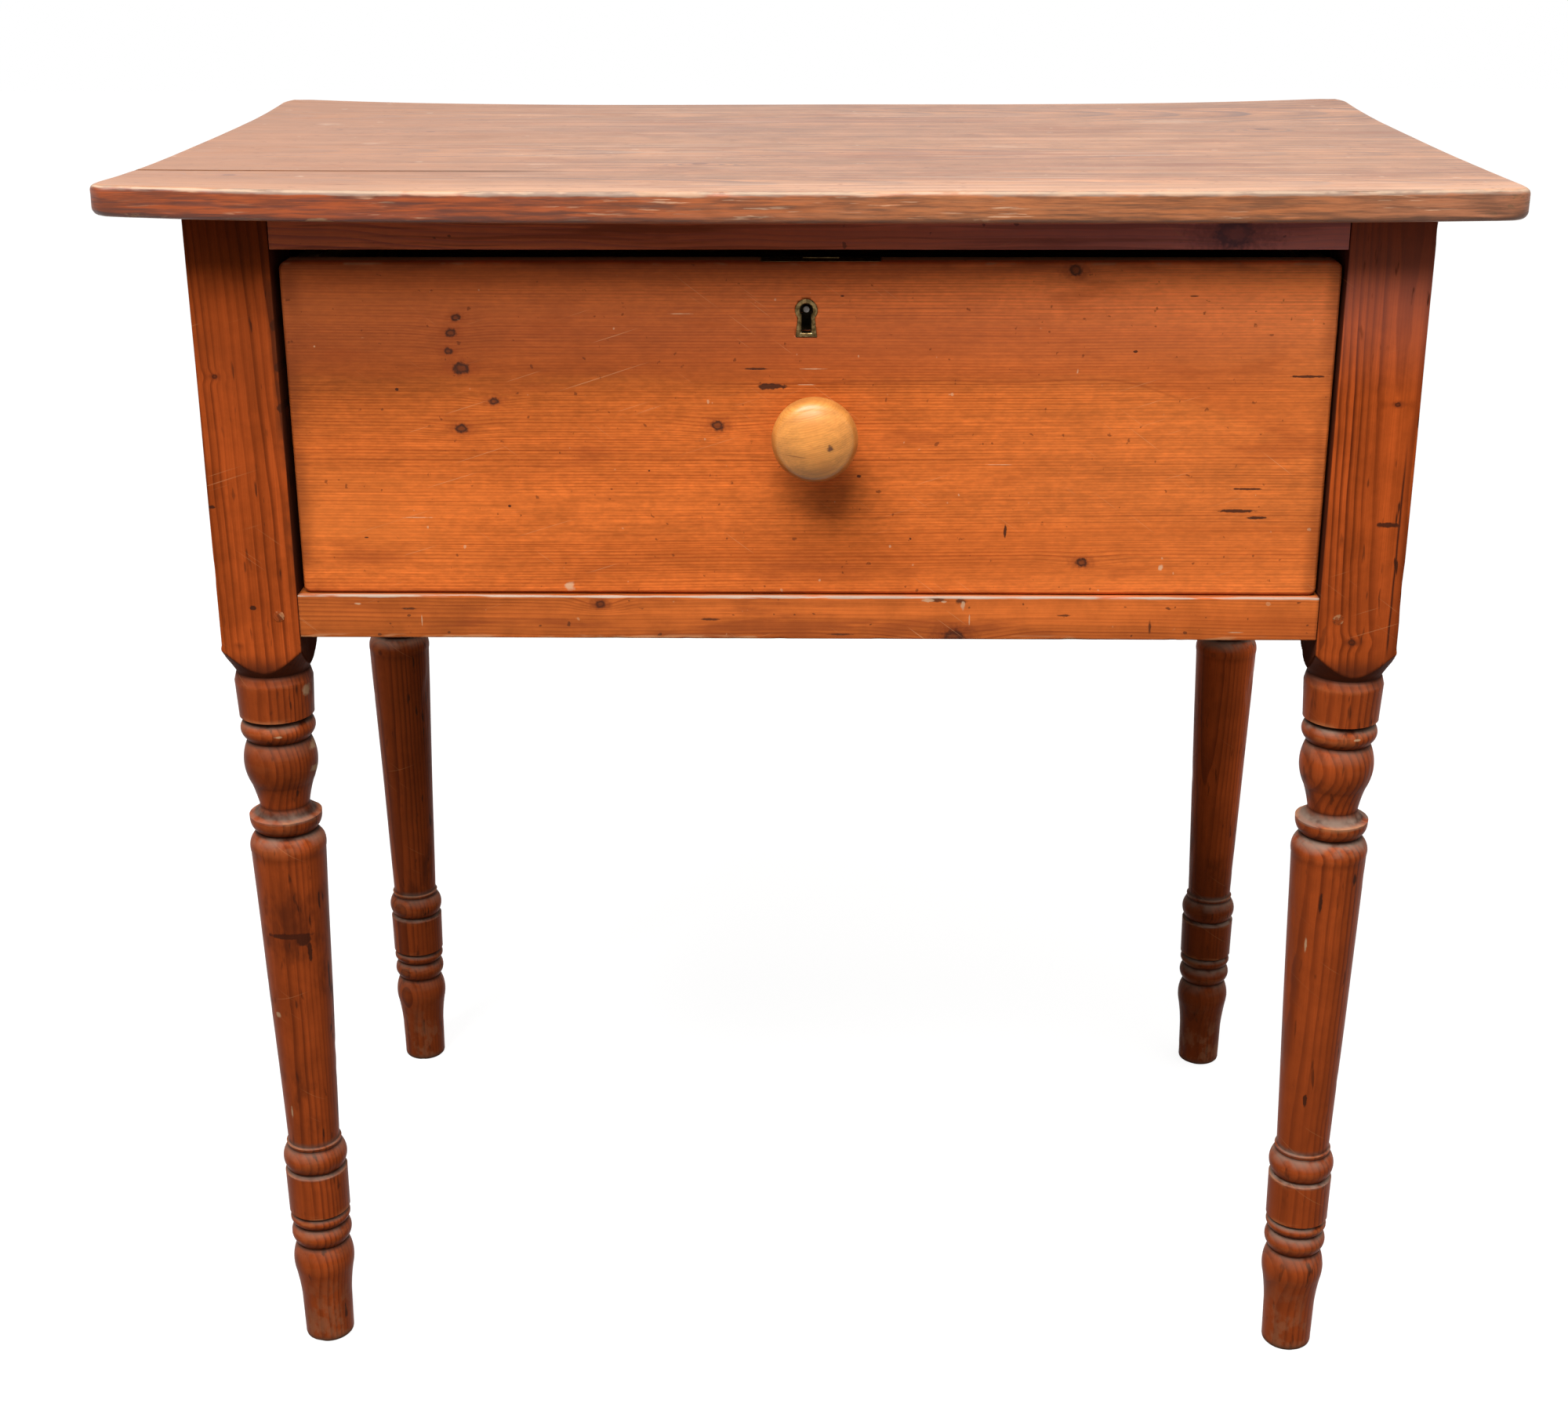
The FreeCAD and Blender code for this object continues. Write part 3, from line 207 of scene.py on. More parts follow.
def tint(tree, share, under, over, blend="MIX"):
    """Two colours mixed by a share from 0 to 1."""
    node = tree.nodes.new("ShaderNodeMix")
    node.data_type = "RGBA"
    node.blend_type = blend
    sockets = {socket.identifier: socket for socket in node.inputs}
    feed(sockets["Factor_Float"], share)
    for name, colour in (("A_Color", under), ("B_Color", over)):
        feed(sockets[name], colour if isinstance(colour, Wire) else (*colour, 1.0))
    result = [socket for socket in node.outputs if socket.identifier == "Result_Color"][0]
    return Wire(tree, result)


print("wires: plain Math, Vector Math, Map Range, Noise and Mix nodes")

# %% [markdown]
# ## The stage
# The table stands on a plain pale floor in front of white. The camera, gloss and glass
# see that white, through Light Path, and the floor under the feet keeps a soft shadow.
# The light itself is a sky that is brighter overhead and on the right, as beside a
# wall, and one large soft lamp above the front. The overhang of the top then shades
# the upper rail and the top of the drawer, as it does in the photograph.

# %% Floor, sky and lamp
def show(tree, seen, other, output):
    """Gives the camera, gloss and glass one shader, and all other light another."""
    path = tree.nodes.new("ShaderNodeLightPath")
    rays = [Wire(tree, path.outputs[n]) for n in ("Is Camera Ray", "Is Glossy Ray", "Is Transmission Ray")]
    choice = plug(tree, "ShaderNodeMixShader", highest(rays), other, seen)
    feed(tree.nodes.new(output).inputs[0], choice)


def make_floor():
    """A wide pale floor; it lights the table from below only a little."""
    mesh = bpy.data.meshes.new("floor")
    reach = 9.0
    corners = [(-reach, -reach, 0), (reach, -reach, 0), (reach, reach, 0), (-reach, reach, 0)]
    mesh.from_pydata(corners, [], [(0, 1, 2, 3)])
    floor = put_in_scene("floor", mesh)
    paint = bpy.data.materials.new("pale floor")
    paint.use_nodes = True
    tree = paint.node_tree
    tree.nodes.clear()
    pale = plug(tree, "ShaderNodeBsdfDiffuse", Color=(0.26, 0.26, 0.26, 1))
    glow = plug(tree, "ShaderNodeEmission", Strength=0.86)
    dull = plug(tree, "ShaderNodeBsdfDiffuse", Color=(0.07, 0.06, 0.05, 1))
    show(tree, plug(tree, "ShaderNodeAddShader", pale, glow), dull, "ShaderNodeOutputMaterial")
    mesh.materials.append(paint)


def make_sky():
    """White to look at, and a soft light that is stronger from above and from the right."""
    sky = bpy.data.worlds.new("sky")
    bpy.context.scene.world = sky
    sky.use_nodes = True
    tree = sky.node_tree
    tree.nodes.clear()
    place = tree.nodes.new("ShaderNodeTexCoord")
    sideways, _, height = split(Wire(tree, place.outputs["Generated"]))
    overhead = smooth(height, 0.0, 0.9, 0.09, 0.82)
    rightward = smooth(sideways, -0.75, 0.75, 0.30, 1.70)
    light = plug(tree, "ShaderNodeBackground", Color=(1.0, 0.985, 0.96, 1), Strength=overhead * rightward)
    white = plug(tree, "ShaderNodeBackground", Color=(1, 1, 1, 1))
    show(tree, white, light, "ShaderNodeOutputWorld")


def make_lamp(name, place, aim, size, power):
    """A large soft lamp that points at the table."""
    lamp = bpy.data.lights.new(name, "AREA")
    lamp.shape = "RECTANGLE"
    lamp.size, lamp.size_y = size
    lamp.energy = power
    stand = put_in_scene(name, lamp)
    stand.location = place
    stand.rotation_euler = (Vector(aim) - Vector(place)).to_track_quat("-Z", "Y").to_euler()


make_floor()
make_sky()
make_lamp("front_lamp", place=(-0.50, -1.55, 2.75), aim=(0, -0.15, 0.55), size=(1.9, 1.2), power=120)
print("stage: floor, sky and one lamp")

# %% [markdown]
# ## Pine, grown in rings
# A board's figure is the trunk's growth rings, cut through. So the wood here is solid:
# each point measures its distance from a pith line, and each ring is pale early wood
# that darkens slowly to a hard late line. A face cut near the pith line shows arches,
# a face cut across the rings shows straight lines, and turning a leg shows ovals,
# with nothing drawn by hand. A knot pushes the rings aside and has a dark heart.

# %% The figure of pine
def grain(along, across, deep, pith, lean, ring, waver, push=0.0):
    """The late lines, the tone of each ring and the fibres of a piece of pine."""
    tree = along.tree
    sway = cloud(along * 1.6, across * 3.0, deep * 3.0, 1.0) - 0.5
    ripple = cloud(along * 9.0, across * 22.0, deep * 22.0, 2.0) - 0.5
    side = across - pith[0] + along * lean[0] + sway * (waver * 5)
    depth = deep - pith[1] + along * lean[1]
    far = reckon(tree, "SQRT", side * side + depth * depth) + ripple * waver + push
    spread = cloud(far * 0.13 / ring, 3.7, 1.3, 2.0)
    years = far / ring + spread * 3.2
    year = reckon(tree, "FRACT", years)
    late = smooth(year, 0.36, 0.88) * smooth(year, 1.0, 0.92)
    count = reckon(tree, "FLOOR", years)
    tone = cloud(count * 1.37, 5.1, 2.2, 0.0)
    fibre = cloud(along * 14.0, across * 1500.0, deep * 1500.0, 2.0, 0.6)
    streak = cloud(along * 2.2, across * 85.0, deep * 85.0, 3.0, 0.6)
    fade = smooth(cloud(along * 4.0, across * 45.0, deep * 45.0, 2.0), 0.30, 0.62, 0.35, 1.0)
    return {"late": late * fade, "tone": tone, "fibre": fibre, "streak": streak}


def spot(plane, centre, half, ragged, hard=0.55):
    """A mark on a face: 1 inside the oval of these half widths, in mm, and 0 outside."""
    away = vectors(plane.tree, "SUBTRACT", plane, (centre[0] * MM, centre[1] * MM, 0))
    oval = vectors(plane.tree, "MULTIPLY", away, (1 / (half[0] * MM), 1 / (half[1] * MM), 0))
    return smooth(vectors(plane.tree, "LENGTH", oval) + ragged, 1.0, hard)


def blots(plane, places, ragged, hard):
    """Several marks at once, each an oval (x, up, half width, half height) in mm."""
    return highest([spot(plane, place[:2], place[2:], ragged, hard) for place in places])


def near(wire, place, reach):
    """1 at a place given in metres, 0 from reach on."""
    return smooth(unsigned(wire - place), reach, 0.0)


print("figure: rings, late wood, fibres, knots and marks")

# %% [markdown]
# ## One finish, many boards
# Stain and old varnish lie on the grain in the same order everywhere: the two colours
# of the rings, a slow change of tone, knots, marks, bare worn wood and dirt. A Finish
# holds one material while these layers go on, then sets roughness and bump from them.
# Values that are the same all over are set on the shader's own sockets.

# %% Layers of a finish
class Finish:
    """A material in the making: its tree, its shader and its layers so far."""

    def __init__(self, name, gloss, shine):
        self.material = bpy.data.materials.new(name)
        self.material.use_nodes = True
        self.tree = self.material.node_tree
        self.tree.nodes.clear()
        output = self.tree.nodes.new("ShaderNodeOutputMaterial")
        self.shader = self.tree.nodes.new("ShaderNodeBsdfPrincipled")
        self.tree.links.new(self.shader.outputs[0], output.inputs[0])
        self.shader.inputs["Specular IOR Level"].default_value = shine
        place = self.tree.nodes.new("ShaderNodeTexCoord")
        self.x, self.y, self.z = split(Wire(self.tree, place.outputs["Object"]))
        self.rough = gloss
        self.height = 0.0
        self.colour = None

    def read(self, name):
        """An attribute that the piece carries."""
        node = self.tree.nodes.new("ShaderNodeAttribute")
        node.attribute_name = name
        return Wire(self.tree, node.outputs["Fac"])

    def noise(self, x, y, z, detail=2.0, rough=0.5):
        """Noise in this piece, with one count per metre for each direction."""
        return cloud(self.x * x, self.y * y, self.z * z, detail, rough)

    def wood(self, early, late, figure, contrast, streaks=1.0):
        """Early and late wood, the tone of the rings and the fibres."""
        lines = figure["late"] * smooth(figure["tone"], 0.2, 0.75, 0.45, 1.0) * contrast
        self.colour = tint(self.tree, lines, early, late)
        self.shade(smooth(figure["streak"], 0.3, 0.7, 1.0 - 0.20 * streaks, 1.0 + 0.14 * streaks))
        self.shade(smooth(figure["fibre"], 0.3, 0.7, 0.88, 1.06))
        patchy = self.noise(34, 34, 34, 5.0, 0.68)
        self.shade(smooth(patchy, 0.32, 0.68, 1.0 - 0.16 * streaks, 1.0 + 0.12 * streaks))
        self.height = lines * 0.5 + figure["fibre"] * 0.35
        self.rough = self.rough + lines * -0.06 + figure["fibre"] * 0.08

    def shade(self, amount):
        """Multiplies the colour by a number."""
        both = merge(self.tree, amount, amount, amount)
        self.colour = tint(self.tree, 1.0, self.colour, both, "MULTIPLY")

    def lay(self, share, colour, rough=0.0, height=0.0):
        """One more layer of colour where share is 1, with its own roughness and height."""
        self.colour = tint(self.tree, share, self.colour, colour)
        if rough:
            self.rough = self.rough + share * rough
        if height:
            self.height = self.height + share * height

    def done(self, bump, reach=0.0006):
        """Links colour, roughness and bump, and gives back the material."""
        feed(self.shader.inputs["Base Color"], self.colour)
        feed(self.shader.inputs["Roughness"], self.rough)
        relief = self.tree.nodes.new("ShaderNodeBump")
        relief.inputs["Strength"].default_value = bump
        relief.inputs["Distance"].default_value = reach
        feed(relief.inputs["Height"], self.height)
        self.tree.links.new(relief.outputs[0], self.shader.inputs["Normal"])
        return self.material


def scratches(finish, across, up, colour, share):
    """Hair scratches in two slanting directions, a few at a time."""
    for slant, seed in ((0.32, 1.7), (-0.75, 8.3)):
        along = across + up * slant
        aside = up - across * slant
        hair = smooth(cloud(along * 16.0 + seed, aside * 950.0, seed, 1.0), 0.73, 0.78)
        group = smooth(cloud(across * 14.0 + seed, up * 14.0, seed, 2.0), 0.50, 0.62)
        finish.lay(hair * group * share, colour, 0.1, -0.2)


def knots(plane, places, ragged):
    """How far knots, each (x, up, size) in mm, push the rings, their hearts and the stain round them."""
    pushes, hearts, rims = [], [], []
    for x, z, size in places:
        pushes.append(spot(plane, (x, z), (size * 7, size * 2.6), 0.0, 0.0))
        middle = spot(plane, (x, z), (size * 0.6, size * 0.45), ragged, 0.3)
        hearts.append(spot(plane, (x, z), (size, size * 0.8), ragged * 0.9, 0.5) - middle * 0.4)
        rims.append(spot(plane, (x, z), (size * 2.6, size * 1.4), ragged * 0.9, 0.3))
    return highest(pushes), highest(hearts), highest(rims)


print("finishes: colour, roughness and bump in layers")

# %% [markdown]
# ## The drawer front's pine
# The drawer front is one wide board with fine level grain, a few low arches right of
# the knob, a row of small knots at the left and hair scratches. It is brown along the
# top, darkened by hands and by painted shade under the overhang, with painted light
# at the top right and a painted sheen, and orange below. Painted shade darkens the left
# and painted light brightens the lower right. The top edge is rubbed pale in places,
# and the ends and the top and bottom edges are darker.

# %% Drawer front finish
front_low, front_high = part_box("drawer_front")
DRAWER_KNOTS = [(-196.4, 687.9, 3.4), (-199.5, 679.1, 4.2), (-201.4, 668.9, 3.2), (-194.8, 659.1, 5.8),
                (-177.1, 640.3, 3.6), (-196.7, 624.4, 4.6), (-50.6, 626.4, 5.0), (148.7, 714.2, 5.0),
                (159.4, 545.9, 4.4)]
DARK_MARKS = [(-20.3, 649.0, 10.0, 2.0), (282, 655, 11, 0.9), (114.5, 564.6, 1.0, 4.4), (-28, 659, 8, 0.7),
              (247, 577, 12, 1.2), (258, 573, 7, 1.0), (251, 590, 10, 0.7), (30, 597, 1.6, 1.0),
              (-232, 647, 1.2, 1.0), (-171, 579, 1.0, 0.8), (184, 669, 1.4, 0.9), (60, 560, 0.9, 0.7),
              (-90, 600, 0.8, 0.6), (215, 700, 2.4, 0.5), (-255, 560, 1.4, 0.5), (20, 700, 1.2, 0.5)]
PALE_MARKS = [(-137.9, 530.7, 3.4, 3.6), (205, 543, 1.8, 2.0), (3, 659, 9, 0.3), (0, 650, 7, 0.3),
              (-225, 572, 12, 0.3), (110, 604, 10, 0.25), (-70, 690, 8, 0.3)]


def drawer_pine():
    """Orange pine with level grain."""
    f = Finish("drawer pine", gloss=0.40, shine=0.12)
    plane = merge(f.tree, f.x, f.z, 0.0)
    ragged = f.noise(420, 420, 420, 2.0) - 0.5
    push, heart, rim = knots(plane, DRAWER_KNOTS, ragged)
    figure = grain(f.x, f.z, f.y, (0.40, -0.12), (0.012, 0.03), 0.0016, 0.0016, push * 0.0016)
    f.wood((0.66, 0.152, 0.027), (0.35, 0.056, 0.009), figure, 0.8, 0.55)
    f.shade(smooth(f.noise(30, 30, 520, 3.0, 0.6), 0.34, 0.66, 0.90, 1.08))
    f.shade(smooth(f.noise(160, 160, 420, 2.0, 0.6), 0.34, 0.66, 0.90, 1.08))
    # Painted shade: the left of the middle is darker. Painted light: the lower right is lighter.
    f.shade(1.0 - smooth(f.x, 0.02, -0.28) * smooth(f.z, 0.560, 0.62) * 0.12)
    f.shade(1.0 + smooth(f.x, -0.05, 0.20) * smooth(f.z, 0.600, 0.545) * 0.12)
    f.lay(smooth(f.x, 0.0, 0.25) * 0.10, (0.80, 0.30, 0.09))
    f.lay(smooth(f.noise(1.4, 1.4, 22.0, 3.0), 0.46, 0.70) * 0.4, (0.42, 0.078, 0.012), 0.03)
    f.lay(smooth(f.noise(3.0, 3.0, 14.0, 3.0), 0.48, 0.75) * 0.35, (0.70, 0.185, 0.034), 0.04)
    arch = smooth(f.x, 0.16, 0.29, 0.653, 0.618) + (f.noise(7, 7, 0, 2.0) - 0.5) * 0.02
    heartwood = smooth(f.z - arch, -0.001, 0.004) * smooth(f.z, 0.72, 0.65, 0.5, 1.0)
    f.lay(heartwood * smooth(f.x, 0.29, 0.20, 0.4, 1.0) * 0.34, (0.40, 0.066, 0.013), 0.03)
    f.lay(near(f.z - arch, 0.0, 0.0013) * smooth(f.x, -0.06, 0.02) * smooth(f.x, 0.26, 0.16) * 0.45,
          (0.25, 0.040, 0.008))
    # Browning and painted shade under the overhang: the top band is darker, most at the left.
    browned_and_shaded = smooth(f.z + (f.noise(5, 5, 9, 3.0) - 0.5) * 0.03, 0.616, 0.658)
    browned_and_shaded = browned_and_shaded * smooth(f.z, 0.718, 0.690, 0.35, 1.0)
    f.shade(1.0 - browned_and_shaded * smooth(f.x, 0.30, -0.30, 0.02, 0.40))
    # Painted light: the top band is lighter towards the right.
    f.shade(1.0 + smooth(f.z, 0.665, 0.712) * smooth(f.x, -0.30, 0.28, 0.45, 0.95))
    # Painted reflection: a pale pink sheen over the upper part.
    f.lay(smooth(f.z, 0.640, 0.705) * smooth(f.x, -0.30, 0.28, 0.05, 0.12), (0.60, 0.26, 0.20), 0.0)
    # Painted shade: the middle of the top band is a little darker.
    f.shade(1.0 - near(f.x, 0.0, 0.20) * smooth(f.z, 0.66, 0.70) * 0.14)
    stain = smooth(f.noise(9, 9, 40, 4.0, 0.6), 0.57, 0.74)
    f.lay(stain * 0.45, (0.28, 0.052, 0.012), 0.05)
    f.lay(rim * 0.45, (0.22, 0.04, 0.010))
    f.lay(heart * 0.95, (0.030, 0.011, 0.007), 0.15, -0.4)
    f.lay(blots(plane, DARK_MARKS, ragged, 0.65) * 0.92, (0.035, 0.011, 0.006), 0.1, -0.6)
    f.lay(blots(plane, PALE_MARKS, ragged, 0.4) * 0.75, (0.68, 0.42, 0.25), 0.2, -0.3)
    flecks = smooth(f.noise(260, 260, 190, 1.0), 0.78, 0.82)
    f.lay(flecks * 0.5, (0.66, 0.40, 0.23), 0.2, -0.2)
    # The ends, and the top and bottom edges, are darker.
    ends = highest([near(f.x, front_low.x, 0.016), near(f.x, front_high.x, 0.012)])
    f.lay(ends * smooth(f.noise(60, 60, 25), 0.3, 0.7, 0.1, 0.6), (0.09, 0.018, 0.006), 0.1)
    below_top = front_high.z - f.z
    behind_face = f.y - front_low.y
    edge_darkening = smooth(f.z - front_low.z, 0.0037, 0.0005) + smooth(below_top, 0.0065, 0.0015)
    f.lay(edge_darkening * smooth(f.noise(30, 30, 90, 3.0), 0.3, 0.7, 0.1, 0.6), (0.18, 0.036, 0.010), 0.1)
    rub = smooth(below_top, 0.0021, 0.0005) * smooth(behind_face, 0.0020, 0.0007)
    f.lay(rub * smooth(f.noise(34, 60, 60, 3.0), 0.52, 0.60) * 0.7, (0.50, 0.24, 0.12), 0.2)
    scratches(f, f.x, f.z, (0.70, 0.36, 0.17), 0.35)
    f.lay(smooth(f.noise(210, 210, 210, 2.0), 0.70, 0.76) * 0.6, (0.08, 0.018, 0.007), 0.1, -0.3)
    f.lay(smooth(behind_face, 0.0080, 0.0095), (0.46, 0.25, 0.11), 0.2)
    return f.done(0.10)


pine_drawer = drawer_pine()
print("drawer pine:", len(pine_drawer.node_tree.nodes), "nodes")

# %% [markdown]
# ## The rails' and aprons' pine
# The rails and aprons have the same stain. The lower rail's upper edge is rubbed to
# bare wood along its whole length by the drawer passing over it.

# %% Rail and apron finish
rail_low, rail_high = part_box("lower_front_rail")
side_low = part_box("right_apron")[0]
back_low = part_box("back_apron")[0]
RAIL_KNOTS = [(234, 735, 13.0), (-120, 521, 3.6), (86, 501, 8.0)]
RAIL_MARKS = [(200, 508, 1.0, 5.0), (-56, 512, 7.0, 1.1), (76, 524.5, 7, 2.0), (90, 523.6, 4, 2.2),
              (20, 503, 9, 0.8), (-232, 518, 6, 0.9), (150, 515, 5, 0.8)]
RAIL_CHIPS = [(71, 524.0, 4.0, 1.4), (80, 523.2, 2.0, 0.8), (91, 521.0, 1.6, 3.4), (95, 512, 0.5, 4.0),
              (-262, 521, 2.4, 0.8), (-225, 511, 0.4, 4.0), (250, 505, 5, 0.4)]
APRON_KNOTS = [(-60, 640, 5), (95, 560, 4), (12, 705, 3.5), (-210, 600, 4.5)]


def rail_pine():
    """Rails: level grain, a rubbed upper edge on the lower rail, painted shade on its left, painted light on
    the upper rail.
    """
    f = Finish("rail pine", gloss=0.44, shine=0.12)
    plane = merge(f.tree, f.x, f.z, 0.0)
    ragged = f.noise(380, 380, 380, 2.0) - 0.5
    push, heart, rim = knots(plane, RAIL_KNOTS, ragged)
    upper = smooth(f.z, 0.70, 0.71)
    waver = upper * 0.007 + 0.003
    ring = upper * 0.0020 + 0.0019
    figure = grain(f.x, f.z, f.y, (0.468, -0.175), (0.020, 0.020), ring, waver, push * 0.004)
    f.wood((0.56, 0.130, 0.024), (0.24, 0.042, 0.009), figure, upper * 0.3 + 0.7)
    # Painted light: the upper rail, in the overhang's shade, is painted lighter and redder, and pinker to the
    # right.
    f.shade(1.0 + upper * 0.90)
    f.lay(upper * 0.40, (0.62, 0.18, 0.150), 0.02)
    f.lay(upper * smooth(f.x, -0.20, 0.25) * 0.40, (0.60, 0.26, 0.31))
    veins = smooth(cloud(f.x * 5.0, f.z * 260.0 + f.noise(7, 7, 30, 2.0) * 2.6, 1.0, 2.0), 0.52, 0.60)
    f.lay(veins * upper * 0.55, (0.16, 0.028, 0.010))
    # Painted shade: the lower rail is darker towards the left.
    f.shade(1.0 - smooth(f.x, 0.05, -0.30) * (1.0 - upper) * 0.20)
    f.lay(smooth(f.noise(2.0, 2.0, 40.0, 3.0), 0.48, 0.70) * 0.5, (0.36, 0.066, 0.012), 0.03)
    f.lay(smooth(f.noise(12, 12, 90, 4.0, 0.6), 0.54, 0.68) * 0.5, (0.22, 0.042, 0.011), 0.05)
    f.lay(rim * 0.6, (0.15, 0.028, 0.008))
    f.lay(heart * 0.9, (0.045, 0.012, 0.006), 0.1, -0.4)
    f.lay(spot(plane, (236, 735), (8, 5), ragged, 0.3) * 0.6, (0.36, 0.10, 0.07))
    f.lay(blots(plane, RAIL_MARKS, ragged, 0.4) * 0.85, (0.06, 0.018, 0.008), 0.1, -0.6)
    f.lay(blots(plane, RAIL_CHIPS, ragged, 0.5) * 0.75, (0.56, 0.34, 0.20), 0.2, -0.5)
    f.lay(smooth(f.noise(260, 260, 200, 1.0), 0.77, 0.81) * (1.0 - upper) * 0.4, (0.60, 0.32, 0.16), 0.1)
    f.lay(smooth(f.noise(170, 170, 230, 1.0), 0.73, 0.77) * 0.7, (0.06, 0.018, 0.008), 0.1, -0.3)
    # Painted reflection and painted light: bluish to the right on the upper rail, and lighter towards the
    # right.
    f.lay(upper * smooth(f.x, -0.05, 0.30) * 0.16, (0.55, 0.30, 0.42))
    f.shade(1.0 + upper * smooth(f.x, -0.28, -0.02) * 0.16)
    below_top = rail_high.z - f.z
    behind_face = f.y - rail_low.y
    rub = smooth(below_top - (f.noise(60, 60, 60, 3.0) - 0.5) * 0.0016, 0.0013, 0.0005)
    rub = rub * smooth(below_top, -0.014, -0.004) * smooth(behind_face, 0.0040, 0.0020)
    f.lay(rub * smooth(f.noise(25, 300, 300, 3.0), 0.34, 0.50) * 0.85, (0.41, 0.34, 0.275), 0.25)
    scratches(f, f.x, f.z, (0.66, 0.34, 0.16), 0.35)
    foot = smooth(f.z - rail_low.z, 0.0035, 0.0005) * smooth(behind_face, 0.015, 0.005)
    f.lay(foot * smooth(f.noise(40, 300, 300, 3.0), 0.5, 0.62) * 0.6, (0.60, 0.30, 0.14), 0.2)
    return f.done(0.12)


def apron_pine():
    """Aprons: the grain runs along y on the sides and along x at the back."""
    f = Finish("apron pine", gloss=0.46, shine=0.15)
    behind = f.y - back_low.y
    back = smooth(behind, -0.0025, -0.0015)
    along = f.y + (f.x - f.y) * back
    deep = f.x + (f.y - f.x) * back
    ragged = f.noise(300, 300, 300, 2.0) - 0.5
    plane = merge(f.tree, along, f.z, 0.0)
    push, heart, rim = knots(plane, APRON_KNOTS, ragged)
    outward = deep * smooth(deep, -0.01, 0.01, -1.0, 1.0)
    figure = grain(along, f.z, outward, (0.61, 0.27), (0.015, 0.03), 0.0026, 0.003, push * 0.008)
    f.wood((0.46, 0.105, 0.018), (0.26, 0.046, 0.009), figure, 0.8)
    f.lay(smooth(f.noise(3, 3, 8), 0.45, 0.8) * 0.6, (0.34, 0.07, 0.014), 0.03)
    f.lay(rim * 0.6, (0.16, 0.03, 0.009))
    f.lay(heart * 0.9, (0.05, 0.014, 0.007), 0.1, -0.3)
    # Painted shade: the aprons darken towards the top, under the top boards.
    f.lay(smooth(f.z, 0.70, 0.742, 0.0, 0.5), (0.16, 0.03, 0.010), 0.05)
    inside = smooth(unsigned(f.x) - side_low.x, 0.0015, 0.0005) * smooth(behind, 0.0015, 0.0005)
    f.lay(inside, (0.42, 0.23, 0.10), 0.2)
    foot = smooth(f.z - side_low.z, 0.0040, 0.0005)
    f.lay(foot * smooth(f.noise(40, 40, 300, 3.0), 0.45, 0.6) * 0.6, (0.58, 0.30, 0.14), 0.2)
    return f.done(0.12)


pine_rails = rail_pine()
pine_aprons = apron_pine()
print("rail pine:", len(pine_rails.node_tree.nodes), "nodes")

# %% [markdown]
# ## The top's pine
# The top has been scrubbed for a century, so most of its stain is gone and what is
# left is a pinkish brown with a haze. Its front edge keeps the red stain, except where
# sleeves and chairs have rubbed the upper corner to bare wood.

# %% Top finish
first_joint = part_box("top_front_board")[1].y
second_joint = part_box("top_middle_board")[1].y
TOP_KNOTS = [(-324, -174, 5.0), (-249, 57, 4.0), (-63, -117, 6.0), (296, 67, 7.0)]
TOP_DARK = [(-50, -168, 34, 0.9), (70, -175, 8, 1.2), (-15, 55, 12, 5), (-200, -60, 6, 1.0),
            (180, -90, 5, 1.2)]
TOP_PALE = [(-325, 102, 14, 9), (-273, -11, 12, 6), (-155, -120, 15, 5), (242, 117, 40, 20),
            (120, -30, 24, 8)]


